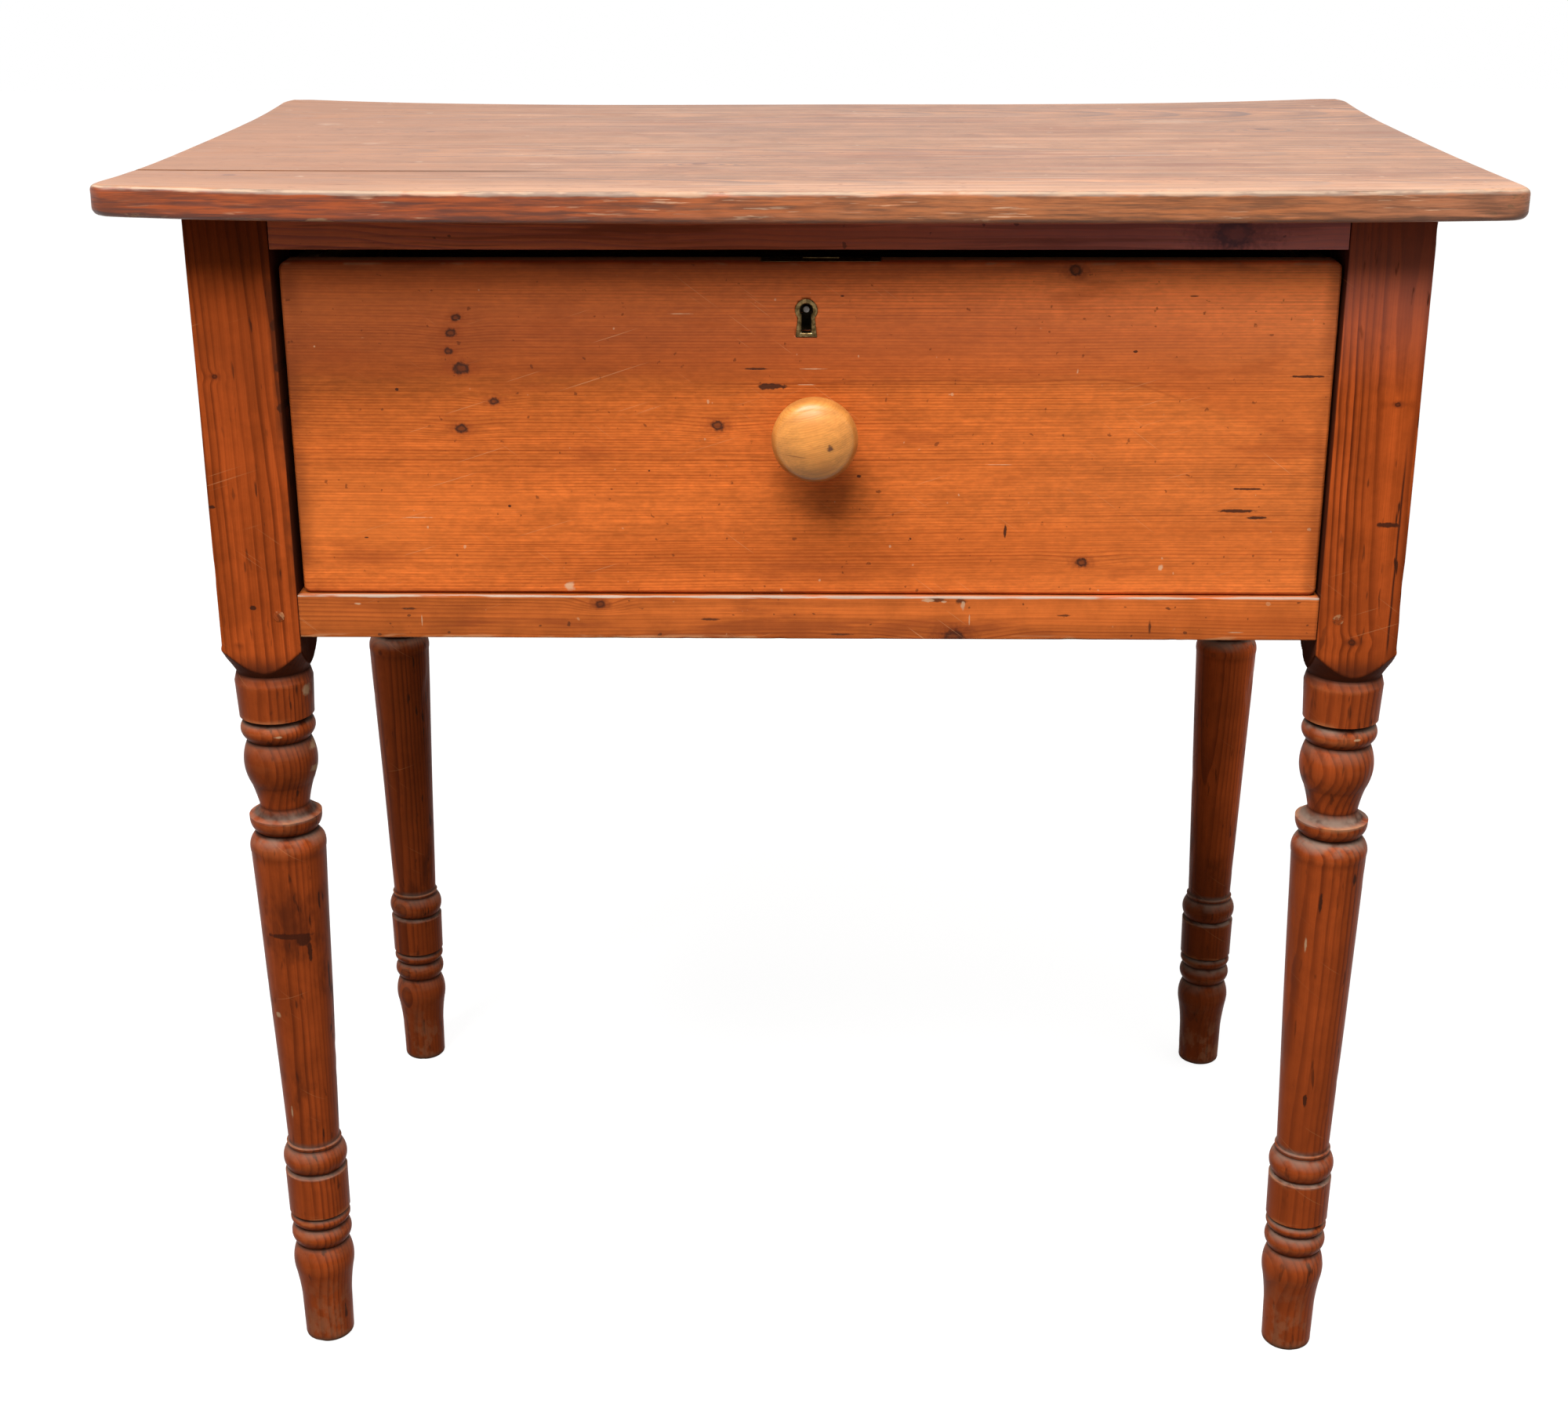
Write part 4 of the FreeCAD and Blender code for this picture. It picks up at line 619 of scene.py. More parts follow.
def top_pine(name, pith, lean):
    """Scrubbed pine for one board of the top."""
    f = Finish(name, gloss=0.40, shine=0.5)
    plane = merge(f.tree, f.x, f.y, 0.0)
    ragged = f.noise(160, 160, 160, 3.0) - 0.5
    push, heart, rim = knots(plane, TOP_KNOTS, ragged)
    figure = grain(f.x, f.y, f.z, pith, lean, 0.0032, 0.004, push * 0.012)
    f.wood((0.36, 0.155, 0.071), (0.13, 0.046, 0.020), figure, 1.0)
    haze = smooth(f.noise(3.2, 5.0, 3.0, 4.0, 0.6), 0.42, 0.72)
    f.lay(haze * 0.45, (0.39, 0.198, 0.108), 0.08)
    f.lay(smooth(f.noise(2.0, 26.0, 2.0, 3.0), 0.52, 0.72) * 0.5, (0.24, 0.085, 0.040))
    f.lay(smooth(f.y, -0.185, -0.232) * 0.7, (0.52, 0.27, 0.150))
    joint = near(f.y, first_joint - 0.002, 0.0062) * smooth(f.x, -0.12, -0.20)
    f.lay(joint * smooth(f.noise(30, 60, 60, 3.0), 0.15, 0.4), (0.014, 0.008, 0.006), 0.2)
    f.lay(near(f.y, first_joint, 0.0012) * 0.6, (0.12, 0.045, 0.024), 0.1)
    f.lay(near(f.y, second_joint, 0.0010) * 0.45, (0.15, 0.058, 0.030), 0.1)
    f.lay(smooth(f.noise(3.0, 190.0, 3.0, 3.0, 0.6), 0.50, 0.64) * 0.36, (0.15, 0.052, 0.026))
    f.lay(smooth(f.noise(5.0, 150.0, 5.0, 3.0, 0.6), 0.56, 0.68) * 0.4, (0.54, 0.34, 0.235), 0.05)
    mottle = smooth(f.noise(9, 22, 9, 5.0, 0.65), 0.50, 0.72)
    f.lay(mottle * 0.6, (0.20, 0.072, 0.036), 0.06)
    f.lay(smooth(f.x, -0.06, -0.34) * 0.62, (0.35, 0.132, 0.048))
    # Painted light and shade: the top is darker at the left and lighter at the right.
    f.shade(smooth(f.x, -0.38, 0.36, 0.88, 1.08))
    f.lay(smooth(f.noise(80, 110, 80, 2.0), 0.72, 0.76) * 0.5, (0.56, 0.42, 0.32), 0.1)
    f.lay(smooth(f.noise(120, 260, 120, 3.0), 0.62, 0.74) * 0.5, (0.13, 0.046, 0.024), 0.05)
    f.shade(smooth(f.noise(14, 120, 14, 4.0, 0.65), 0.32, 0.68, 0.90, 1.08))
    f.lay(rim * 0.4, (0.24, 0.085, 0.045))
    f.lay(heart * 0.65, (0.08, 0.035, 0.025), 0.05)
    f.lay(blots(plane, TOP_DARK, ragged * 1.4, 0.2) * 0.6, (0.14, 0.06, 0.04))
    f.lay(blots(plane, TOP_PALE, ragged * 1.6, 0.0) * 0.4, (0.48, 0.32, 0.23), 0.1)
    f.lay(smooth(f.noise(40, 900, 40, 2.0), 0.66, 0.74) * 0.35, (0.52, 0.35, 0.25), 0.05)
    scratches(f, f.x, f.y, (0.55, 0.36, 0.26), 0.4)
    inset = f.read("inset")
    depth = f.read("depth")
    side = smooth(inset, 0.0016, 0.0007) * smooth(depth, 0.0002, 0.0012)
    f.lay(side, (0.235, 0.044, 0.007))
    thread = f.noise(34, 60, 700, 3.0)
    f.lay(side * smooth(thread, 0.50, 0.62) * 0.8, (0.13, 0.026, 0.008), 0.05, -0.3)
    f.lay(side * smooth(f.noise(9, 9, 130, 2.0), 0.50, 0.72) * 0.5, (0.20, 0.040, 0.011), 0.03)
    # Painted shade: the front edge darkens towards its lower arris.
    f.lay(side * smooth(depth, 0.0095, 0.0160) * 0.30, (0.10, 0.020, 0.007))
    f.lay(side * smooth(f.x, 0.24, 0.37) * 0.5, (0.17, 0.068, 0.062), 0.05)
    crack = smooth(f.noise(160, 60, 420, 2.0), 0.56, 0.62) * smooth(f.x, 0.350, 0.372)
    f.lay(side * crack * 0.9, (0.030, 0.014, 0.011), 0.1, -0.5)
    rubbed = smooth(f.x, -0.20, 0.10)
    f.lay(side * rubbed * 0.50, (0.34, 0.140, 0.050), 0.05)
    pale_thread = smooth(f.noise(48, 60, 850, 3.0), 0.61, 0.66) * smooth(f.noise(16, 16, 60, 2.0), 0.46, 0.60)
    f.lay(side * pale_thread * smooth(f.x, -0.30, 0.0, 0.35, 0.75), (0.48, 0.27, 0.16), 0.15)
    lines = smooth(f.noise(30, 60, 520, 4.0, 0.65), 0.34, 0.66, -0.46, 0.38)
    # Streaks on the front edge, with painted shade towards its lower arris.
    f.shade(1.0 + side * (lines - smooth(depth, 0.0095, 0.0165) * 0.16 + 0.04))
    front = smooth(f.y - cad_low.y, 0.012, 0.004)
    corner = reckon(f.tree, "SQRT", inset * inset + depth * depth)
    band = smooth(corner + (f.noise(55, 200, 200, 3.0) - 0.5) * 0.0026, 0.0030, 0.0020)
    bare = smooth(f.noise(13, 30, 30, 4.0, 0.65), 0.40, 0.50) * front
    f.lay(band * bare * 0.85, (0.24, 0.162, 0.117), 0.25, -0.3)
    f.lay(band * smooth(f.noise(24, 24, 60, 3.0), 0.50, 0.60) * 0.6, (0.50, 0.28, 0.165), 0.2)
    hairline = smooth(corner + (f.noise(90, 200, 200, 3.0) - 0.5) * 0.0016, 0.0017, 0.0009)
    broken = smooth(f.noise(20, 40, 40, 4.0, 0.65), 0.42, 0.52) * front
    f.lay(hairline * broken * 0.7, (0.46, 0.32, 0.22), 0.25)
    under = smooth(depth, 0.0140, 0.0158) * side
    f.lay(under * smooth(f.noise(24, 60, 60, 4.0, 0.6), 0.62, 0.66) * 0.9, (0.62, 0.36, 0.21), 0.2, -0.3)
    f.lay(smooth(depth, 0.0164, 0.0168) * smooth(inset, 0.002, 0.006), (0.26, 0.105, 0.040), 0.25)
    return f.done(0.10)


pine_tops = {
    "top_front_board": top_pine("front board pine", (-0.205, 0.70), (0.02, 0.03)),
    "top_middle_board": top_pine("middle board pine", (-0.06, 0.68), (0.03, 0.05)),
    "top_rear_board": top_pine("rear board pine", (0.16, 0.66), (-0.02, 0.06)),
}
print("top pine:", len(pine_tops["top_front_board"].node_tree.nodes), "nodes a board")

# %% [markdown]
# ## The legs' pine
# Each leg is one squared stick, turned below. Its rings are cut straight through, so
# the square part shows close upright lines, and the turned part shows long ovals.
# Dust and a painted sheen lie on the upper side of the beads, old wax and dirt in the
# grooves, and the feet are scuffed to bare wood.

# %% Leg finish
leg_low, leg_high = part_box("front_left_leg")
LEG_X = 0.321
FRONT_LEG_Y = -0.181
REAR_LEG_Y = 0.201
STILE_KNOTS = [(318, 499, 3.0), (-334, 655, 2.2), (332, 640, 2.0)]
STILE_MARKS = [(332, 570, 7.2, 2.0), (-298, 684, 2.4, 3.6), (-297.5, 660, 2.4, 3.4), (-298, 637, 2.4, 3.0),
               (-324, 518, 2.4, 1.8), (-342.5, 579, 2.6, 1.2), (-320, 303, 15, 2.2), (-312, 300, 5, 5),
               (-309, 292, 1.4, 9), (314, 330, 1.2, 7), (334, 345, 1.2, 5), (316, 190, 1.4, 6)]
LEG_CHIPS = [(-300, 462, 1.8, 4.5), (-299.5, 425, 2.4, 4.0), (-300, 410, 1.6, 3.0), (-333, 246, 2.2, 2.6),
             (-316, 436, 3.0, 1.0), (327, 437, 2.6, 1.0), (308, 300, 0.8, 6.0), (-330, 175, 0.8, 5.0)]


def leg_pine():
    """Red brown pine with upright grain."""
    f = Finish("leg pine", gloss=0.36, shine=0.03)
    plane = merge(f.tree, f.x, f.z, 0.0)
    ragged = f.noise(330, 330, 330, 2.0) - 0.5
    push, heart, rim = knots(plane, STILE_KNOTS, ragged)
    is_right = reckon(f.tree, "GREATER_THAN", f.x, 0.0)
    is_rear = reckon(f.tree, "GREATER_THAN", f.y, 0.0)
    own_x = f.x + LEG_X - is_right * (2 * LEG_X)
    own_y = f.y - FRONT_LEG_Y - is_rear * (REAR_LEG_Y - FRONT_LEG_Y)
    own_z = f.z + is_right * 3.7 + is_rear * 7.9
    figure = grain(own_z, own_x, own_y, (0.055, 0.050), (0.010, 0.012), 0.0030, 0.0030, push * 0.0012)
    f.wood((0.40, 0.070, 0.012), (0.11, 0.017, 0.004), figure, 1.0)
    f.lay(smooth(f.noise(9, 9, 5, 3.0), 0.45, 0.75) * 0.5, (0.27, 0.05, 0.012), 0.03)
    turned = smooth(f.z, 0.495, 0.470)
    f.lay(turned * 0.36, (0.19, 0.036, 0.010))
    # Painted shade: the rear legs are darker low down.
    f.shade(1.0 - is_rear * smooth(f.z, 0.24, 0.08) * (is_right * 0.35 + 0.1))
    # Painted light and shade: higher up, the rear right leg is lighter and the rear left darker.
    f.shade(1.0 + is_rear * smooth(f.z, 0.14, 0.26) * (is_right * 1.00 - 0.32))
    # Painted shade: the front left leg's turning is darker.
    f.shade(1.0 - turned * (1.0 - is_right) * (1.0 - is_rear) * 0.10)
    # Darker round the vase of the left legs.
    f.shade(1.0 - near(f.z, 0.413, 0.026) * (1.0 - is_right) * 0.28)
    # Painted shade: the front left stile is darker above the rail.
    f.shade(1.0 - smooth(f.z, 0.50, 0.54) * (1.0 - is_right) * (1.0 - is_rear) * 0.17)
    # Painted light and painted reflection: the front right stile's top is lighter and pinker.
    f.lay(is_right * (1.0 - is_rear) * smooth(f.z, 0.64, 0.72) * 0.30, (0.62, 0.21, 0.16))
    behind_face = f.y - leg_low.y
    front = smooth(behind_face, 0.015, 0.0015)
    f.lay(rim * front * 0.6, (0.14, 0.026, 0.008))
    f.lay(heart * front * 0.9, (0.045, 0.012, 0.006), 0.1, -0.3)
    smudges = blots(plane, STILE_MARKS, ragged, 0.65) * smooth(behind_face, 0.045, 0.015)
    f.lay(smudges * 0.9, (0.035, 0.012, 0.007), 0.15, -0.5)
    wander = (f.noise(3, 3, 16, 2.0) - 0.5) * 0.003
    split_line = near(f.x + wander, 0.3388, 0.0010) * smooth(f.z, 0.486, 0.50) * smooth(f.z, 0.625, 0.59)
    f.lay(split_line * front * 0.95, (0.035, 0.010, 0.006), 0.2, -1.0)
    # Painted shade: the inner faces of the front legs' square heads are dark, and rougher to dull their
    # gloss.
    side = smooth(unsigned(f.x) + leg_high.x, 0.0012, 0.0004) * smooth(behind_face, 0.055, 0.040)
    f.lay(side * smooth(f.z, 0.470, 0.478) * 0.9, (0.035, 0.010, 0.005), 0.6)
    inner = near(f.x, leg_high.x, 0.007) * front * smooth(f.z, 0.52, 0.54)
    f.lay(inner * smooth(f.noise(60, 60, 40, 3.0), 0.35, 0.6) * 0.8, (0.07, 0.018, 0.007), 0.15)
    smear = smooth(f.noise(22, 22, 9, 5.0, 0.66), 0.54, 0.68) * turned
    f.lay(smear * 0.70, (0.055, 0.012, 0.005), 0.08)
    f.lay(smooth(f.noise(230, 230, 45, 2.0), 0.64, 0.72) * smooth(own_x, -0.02, 0.02, 0.4, 0.9),
          (0.04, 0.012, 0.006), 0.1, -0.3)
    # Painted shade: the curved shoulders at the foot of the square heads are darker.
    shaded_shoulders = smooth(highest([unsigned(v) for v in (own_x, own_y)]), 0.02385, 0.0232)
    f.lay(shaded_shoulders * smooth(f.z, 0.470, 0.476) * smooth(f.z, 0.497, 0.494) * 0.8, (0.05, 0.012, 0.005), 0.15)
    f.lay(f.read("hollow") * 0.93, (0.022, 0.008, 0.005), 0.2)
    # Dust, with a painted sheen, on the upward faces; more on the right legs.
    dust_and_sheen = f.read("ledge") * smooth(f.noise(70, 70, 70, 3.0), 0.30, 0.58) * (is_right * 0.3 + 0.45)
    f.lay(dust_and_sheen, (0.27, 0.185, 0.14), 0.3)
    # Painted shade: a dark band just below the square heads.
    shade_under_pommel = near(f.z, 0.4785, 0.013) * smooth(f.noise(50, 50, 50, 3.0), 0.2, 0.6, 0.3, 0.8)
    f.lay(shade_under_pommel, (0.06, 0.014, 0.006), 0.2)
    worn = f.read("worn") * smooth(f.noise(45, 45, 160, 4.0, 0.6), 0.47, 0.60)
    f.lay(worn * 0.6, (0.50, 0.20, 0.08), 0.15, -0.2)
    chips = blots(plane, LEG_CHIPS, ragged, 0.4) * smooth(behind_face, 0.035, 0.025)
    f.lay(chips * 0.8, (0.48, 0.30, 0.17), 0.2, -0.4)
    scratches(f, f.x, f.z, (0.52, 0.22, 0.09), 0.35)
    foot = smooth(f.z, 0.075, 0.0)
    f.lay(foot * smooth(f.noise(90, 90, 60, 4.0, 0.6), 0.48, 0.62) * 0.45, (0.30, 0.13, 0.065), 0.25, -0.2)
    f.lay(smooth(f.z, 0.006, 0.0), (0.12, 0.06, 0.035), 0.3)
    return f.done(0.14)


pine_legs = leg_pine()
print("leg pine:", len(pine_legs.node_tree.nodes), "nodes")

# %% [markdown]
# ## Bare pine, the knob's wood, brass and iron
# Inside, the drawer and the runners were never stained: plain pine, browned by age and
# dirt. The knob is a close, golden wood. The lock and the keyhole's lining are dull
# brass, dark except on rubbed edges, and the screws, nails and lock case are iron.

# %% Other finishes
KNOB_X = 4.9
KNOB_Z = 623.9
KEYHOLE = (0, 688)


def bare_pine():
    """Unstained pine, with the grain along y for the sides and along x elsewhere."""
    f = Finish("bare pine", gloss=0.62, shine=0.3)
    at_side = smooth(unsigned(f.x), 0.2770, 0.2780)
    along = f.x + (f.y - f.x) * at_side
    deep = f.y + (f.x - f.y) * at_side
    figure = grain(along, f.z, deep, (0.50, 0.60), (0.05, 0.08), 0.0034, 0.004)
    f.wood((0.52, 0.31, 0.145), (0.36, 0.175, 0.07), figure, 0.8)
    f.lay(smooth(f.noise(5, 5, 9, 4.0, 0.6), 0.45, 0.75) * 0.6, (0.36, 0.21, 0.105), 0.05)
    f.lay(smooth(f.noise(45, 45, 45, 3.0), 0.63, 0.72) * 0.5, (0.20, 0.105, 0.055), 0.05)
    return f.done(0.14)


def knob_wood():
    """Golden close grained wood, turned across its face."""
    f = Finish("knob wood", gloss=0.30, shine=0.36)
    figure = grain(f.x + f.z * 0.25, f.z - f.x * 0.25, f.y, (0.50, -0.16), (0.06, 0.05), 0.0011, 0.002)
    f.wood((0.74, 0.296, 0.064), (0.52, 0.168, 0.029), figure, 0.5)
    plane = merge(f.tree, f.x, f.z, 0.0)
    ragged = f.noise(500, 500, 500, 2.0) - 0.5
    f.lay(smooth(f.noise(70, 30, 70, 3.0), 0.45, 0.75) * 0.5, (0.60, 0.21, 0.04), 0.03)
    speck = spot(plane, (13.5, 622), (2.4, 2.0), ragged * 1.6, 0.4)
    f.lay(speck * 0.9, (0.07, 0.02, 0.008), 0.1)
    far = vectors(f.tree, "DISTANCE", plane, (KNOB_X * MM, KNOB_Z * MM, 0.0))
    rim = near(far, 0.0236, 0.0022) * smooth(f.noise(60, 60, 60, 3.0), 0.4, 0.6)
    f.lay(rim * 0.5, (0.40, 0.12, 0.024), 0.05)
    # Painted shade: the top of the knob is darker.
    f.shade(smooth(f.z, 0.626, 0.646, 1.0, 0.86))
    crack = near(f.z + f.x * 0.12 + (f.noise(40, 40, 40) - 0.5) * 0.002, 0.6163, 0.0005)
    f.lay(crack * near(f.x, -0.006, 0.010) * 0.8, (0.20, 0.055, 0.014), 0.1, -0.4)
    # Painted shade: the neck and the back of the head, towards the drawer, are darker.
    f.lay(smooth(f.y - front_low.y, -0.011, -0.002), (0.16, 0.045, 0.014), 0.2)
    return f.done(0.05)


def peg_wood():
    """Whittled pegs, darker than the wood round them."""
    f = Finish("peg wood", gloss=0.6, shine=0.05)
    figure = grain(f.y, f.z, f.x, (0.9, 0.5), (0.0, 0.0), 0.0012, 0.001)
    f.wood((0.34, 0.066, 0.014), (0.16, 0.03, 0.008), figure, 0.8)
    f.lay(smooth(f.noise(300, 300, 300, 2.0), 0.48, 0.62) * 0.7, (0.09, 0.022, 0.008), 0.1)
    f.lay(smooth(f.noise(240, 240, 240, 2.0), 0.54, 0.62) * 0.6, (0.46, 0.22, 0.10), 0.1)
    return f.done(0.12)


def metal(name, dark, bright, gloss, grime, keyhole_shade=0.0):
    """Old metal: a dark skin, brighter where it is rubbed, and painted black behind the keyhole as painted
    shade, by the last amount.
    """
    f = Finish(name, gloss=gloss, shine=0.5)
    f.shader.inputs["Metallic"].default_value = 1.0
    rubbed = smooth(f.noise(220, 220, 220, 4.0, 0.6), 0.40, 0.68)
    f.colour = tint(f.tree, rubbed, dark, bright)
    pits = smooth(f.noise(900, 900, 900, 2.0), 0.60, 0.72)
    f.height = pits * -0.5 + rubbed * 0.2
    f.rough = f.rough + pits * 0.2 - rubbed * 0.08
    f.lay(smooth(f.noise(120, 120, 120, 3.0), 0.5, 0.75) * grime, (0.06, 0.04, 0.022), 0.2)
    plane = merge(f.tree, f.x, f.z, 0.0)
    # Painted shade: black behind the keyhole.
    f.lay(spot(plane, KEYHOLE, (9, 13), 0.0) * keyhole_shade, (0.010, 0.008, 0.006), 0.2)
    return f.done(0.15, 0.0003)


pine_bare = bare_pine()
wood_knob = knob_wood()
wood_peg = peg_wood()
old_brass = metal("old brass", (0.15, 0.095, 0.036), (0.34, 0.23, 0.09), 0.40, 0.5, 0.95)
old_iron = metal("old iron", (0.085, 0.075, 0.068), (0.20, 0.18, 0.165), 0.48, 0.6)
print("finishes:", [m.name for m in (pine_bare, wood_knob, wood_peg, old_brass, old_iron)])

# %% [markdown]
# ## Boards with worn edges
# A real board has no sharp corner. The worn board below starts as a fine grid of
# points on a box and rounds every edge: the four corners in plan by one radius, and
# the upper and lower edges by another that noise makes larger where the wood is
# chipped. Making the grid in code keeps the points close together at the edges only.

# %% Worn boards
def stations(low, high, step, fine, band):
    """Places from low to high: close together within band of each end."""
    inner = np.linspace(low + band, high - band, max(2, round((high - low - 2 * band) / step) + 1))
    first = np.linspace(low, low + band, max(2, round(band / fine) + 1))
    last = np.linspace(high - band, high, max(2, round(band / fine) + 1))
    return np.concatenate([first[:-1], inner, last[1:]])


def box_grid(xs, ys, zs):
    """A closed box of quads through these stations, its faces pointing outwards."""
    count = (len(xs), len(ys), len(zs))
    index, points, faces = {}, [], []

    def corner(i, j, k):
        key = (i, j, k)
        if key not in index:
            index[key] = len(points)
            points.append((xs[i], ys[j], zs[k]))
        return index[key]

    for axis in range(3):
        one, two = (axis + 1) % 3, (axis + 2) % 3
        for end in (0, count[axis] - 1):
            for a in range(count[one] - 1):
                for b in range(count[two] - 1):
                    quad = []
                    for da, db in ((0, 0), (1, 0), (1, 1), (0, 1)):
                        place = [0, 0, 0]
                        place[axis] = end
                        place[one] = a + da
                        place[two] = b + db
                        quad.append(corner(*place))
                    faces.append(quad if end else quad[::-1])
    return np.array(points), faces


def rough_field(points, scale, seed):
    """Noise from -1 to 1 at each point, with a scale for each direction."""
    lift = Vector((seed * 13.1, seed * 7.7, seed * 3.3))
    return np.array([noise.noise(Vector(p * scale) + lift) for p in points])


def quad_mesh(name, points, faces):
    """A mesh from an array of points and its faces."""
    mesh = bpy.data.meshes.new(name)
    mesh.from_pydata([tuple(p) for p in points], [], faces)
    return mesh


def settle(name, mesh, material, body, replaced, sharp):
    """Shades a mesh, crisp at edges over sharp degrees, and lets it ride in place of its solid."""
    mesh.materials.clear()
    mesh.materials.append(material)
    mesh.polygons.foreach_set("use_smooth", [True] * len(mesh.polygons))
    mesh.set_sharp_from_angle(angle=math.radians(sharp))
    mesh.update()
    piece = put_in_scene(name, mesh)
    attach(piece, body)
    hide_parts(*replaced)


print("boards: stations, box grids and noise are ready")

# %% [markdown]
# ## The top
# Three boards lie edge to edge. Only their outer edges are rounded and chipped, the
# front one most. The first joint has opened at the left end, and the corners have
# lifted by a few millimetres as the boards dried.

# %% Top boards
CORNER = 11 * MM
REAR_CORNER = 19 * MM
LIFT = {(-1, -1): 4.0 * MM, (1, -1): 1.5 * MM, (-1, 1): 4.5 * MM, (1, 1): 4.5 * MM}


def top_board(node, step, fine):
    """One board of the top, from its solid's box."""
    low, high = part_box(node)
    xs = stations(low.x, high.x, step, 1.0 * MM, 20 * MM)
    ys = stations(low.y, high.y, step * 1.6, fine, 20 * MM)
    zs = stations(low.z, high.z, 2.2 * MM, 0.55 * MM, 4.0 * MM)
    points, faces = box_grid(xs, ys, zs)
    x, y, z = points.T
    reach = np.minimum.reduce([x - cad_low.x, cad_high.x - x, y - cad_low.y, cad_high.y - y])
    rise = np.minimum(z - low.z, high.z - z)
    is_front = np.clip((cad_low.y + 0.02 - y) / 0.01, 0, 1)
    is_upper = z > (low.z + high.z) / 2
    chips = np.clip(rough_field(points, np.array([26, 6, 6]), 1) - 0.25, 0, 1) * 1.3
    bites = np.clip(rough_field(points, np.array([120, 20, 20]), 2) - 0.40, 0, 1) * 1.6
    is_end = np.clip((np.abs(x) - 0.366) / 0.012, 0, 1)
    soft = np.where(is_upper, 1.7 + 1.1 * is_front, 1.7 + 1.5 * is_front) + 1.2 * is_end
    edge = (soft + (chips + bites) * np.where(is_upper, 1.0, 0.8) * (0.35 + 0.65 * is_front)) * MM
    a = np.clip(edge - reach, 0, None)
    b = np.clip(edge - rise, 0, None)
    size = np.maximum(np.hypot(a, b), 1e-9)
    both = (a > 0) & (b > 0)
    inward = np.where(both, a - a * np.maximum(a, b) / size, 0.0)
    drop = np.where(both, b - b * np.maximum(a, b) / size, 0.0)
    turn = np.where(y > 0, REAR_CORNER, CORNER)
    core = np.column_stack([np.clip(x, cad_low.x + turn, cad_high.x - turn),
                            np.clip(y, cad_low.y + turn, cad_high.y - turn)])
    out = points[:, :2] - core
    span = np.maximum(np.abs(out).max(axis=1), 1e-9)
    length = np.maximum(np.hypot(out[:, 0], out[:, 1]), 1e-9)
    flat = core + out * (span / length)[:, None]
    flat = flat - out / length[:, None] * inward[:, None]
    z = z - np.where(is_upper, 1, -1) * drop
    worn = rough_field(points, np.array([5, 8, 8]), 3) * 0.35
    worn = worn + rough_field(points, np.array([14, 45, 14]), 4) * 0.12
    z = z + worn * MM * np.clip(rise / (1 * MM) + 0.6, 0, 1)
    dent = np.clip(rough_field(points, np.array([60, 60, 160]), 5) - 0.2, 0, 1) * 1.1 * MM
    on_front = is_front * np.clip(1 - reach / (0.4 * MM), 0, 1)
    flat[:, 1] = flat[:, 1] + dent * on_front
    gap = np.clip((-140 * MM - x) / (170 * MM), 0, 1) * 3.2 * MM
    if node == "top_front_board":
        flat[:, 1] = flat[:, 1] - np.clip(1 - np.abs(y - high.y) / (8 * MM), 0, 1) * gap
    for (sx, sy), lift in LIFT.items():
        here = (np.sign(x) == sx) & (np.sign(y) == sy)
        bend = (np.abs(x) / cad_high.x) ** 4 * (np.abs(y) / cad_high.y) ** 3
        z = z + np.where(here, lift * bend, 0.0)
    mesh = quad_mesh(node + "_worn", np.column_stack([flat, z]), faces)
    settle(node + "_worn", mesh, pine_tops[node], "table_frame", [node], 38)
    for label, column in (("inset", reach), ("depth", high.z - points[:, 2])):
        mesh.attributes.new(label, "FLOAT", "POINT").data.foreach_set("value", column)
    print(node, "quads:", len(faces))


for board, wide, close in (("front", 1.7, 0.8), ("middle", 4.0, 2.0), ("rear", 4.0, 1.4)):
    top_board(f"top_{board}_board", wide * MM, close * MM)

# %% [markdown]
# ## The drawer front, the rails and the aprons
# These have recesses, grooves and tenons that must stay, so each is its own solid cut
# back to a worn skin: a Boolean keeps what lies inside both the solid and a worn board
# that is a hair smaller on the faces that show and larger everywhere else.

# %% Worn solids
def worn_skin(low, high, radius, chip, step, seed):
    """A box with softened, chipped edges and a faintly uneven face."""
    axes = [stations(low[i], high[i], step, 0.7 * MM, min(5 * MM, (high[i] - low[i]) / 3)) for i in range(3)]
    points, faces = box_grid(*axes)
    chips = np.clip(rough_field(points, np.array([30, 30, 30]), seed) - 0.30, 0, 1)
    bites = np.clip(rough_field(points, np.array([110, 110, 110]), seed + 1) - 0.35, 0, 1)
    edge = (radius + chip * (chips * 2.2 + bites * 1.6))[:, None] * MM
    core = np.clip(points, np.array(low) + edge, np.array(high) - edge)
    out = points - core
    length = np.maximum(np.linalg.norm(out, axis=1), 1e-9)
    span = np.abs(out).max(axis=1)
    wave = np.clip(rough_field(points, np.array([9, 9, 9]), seed + 2) * 0.10 + 0.06, 0, 1)
    wave += np.clip(rough_field(points, np.array([70, 70, 70]), seed + 3) - 0.45, 0, 1) * 0.5
    return core + out * ((span - wave * MM) / length)[:, None], faces


def merged(node):
    """A copy of a solid's mesh, to be edited, whose faces share their corners."""
    whole = bmesh.new()
    whole.from_mesh(nodes[node].data)
    bmesh.ops.remove_doubles(whole, verts=whole.verts, dist=1e-6)
    return whole


def plain_mesh(name, whole):
    """Turns an edited copy back into a mesh."""
    mesh = bpy.data.meshes.new(name)
    whole.to_mesh(mesh)
    whole.free()
    return mesh


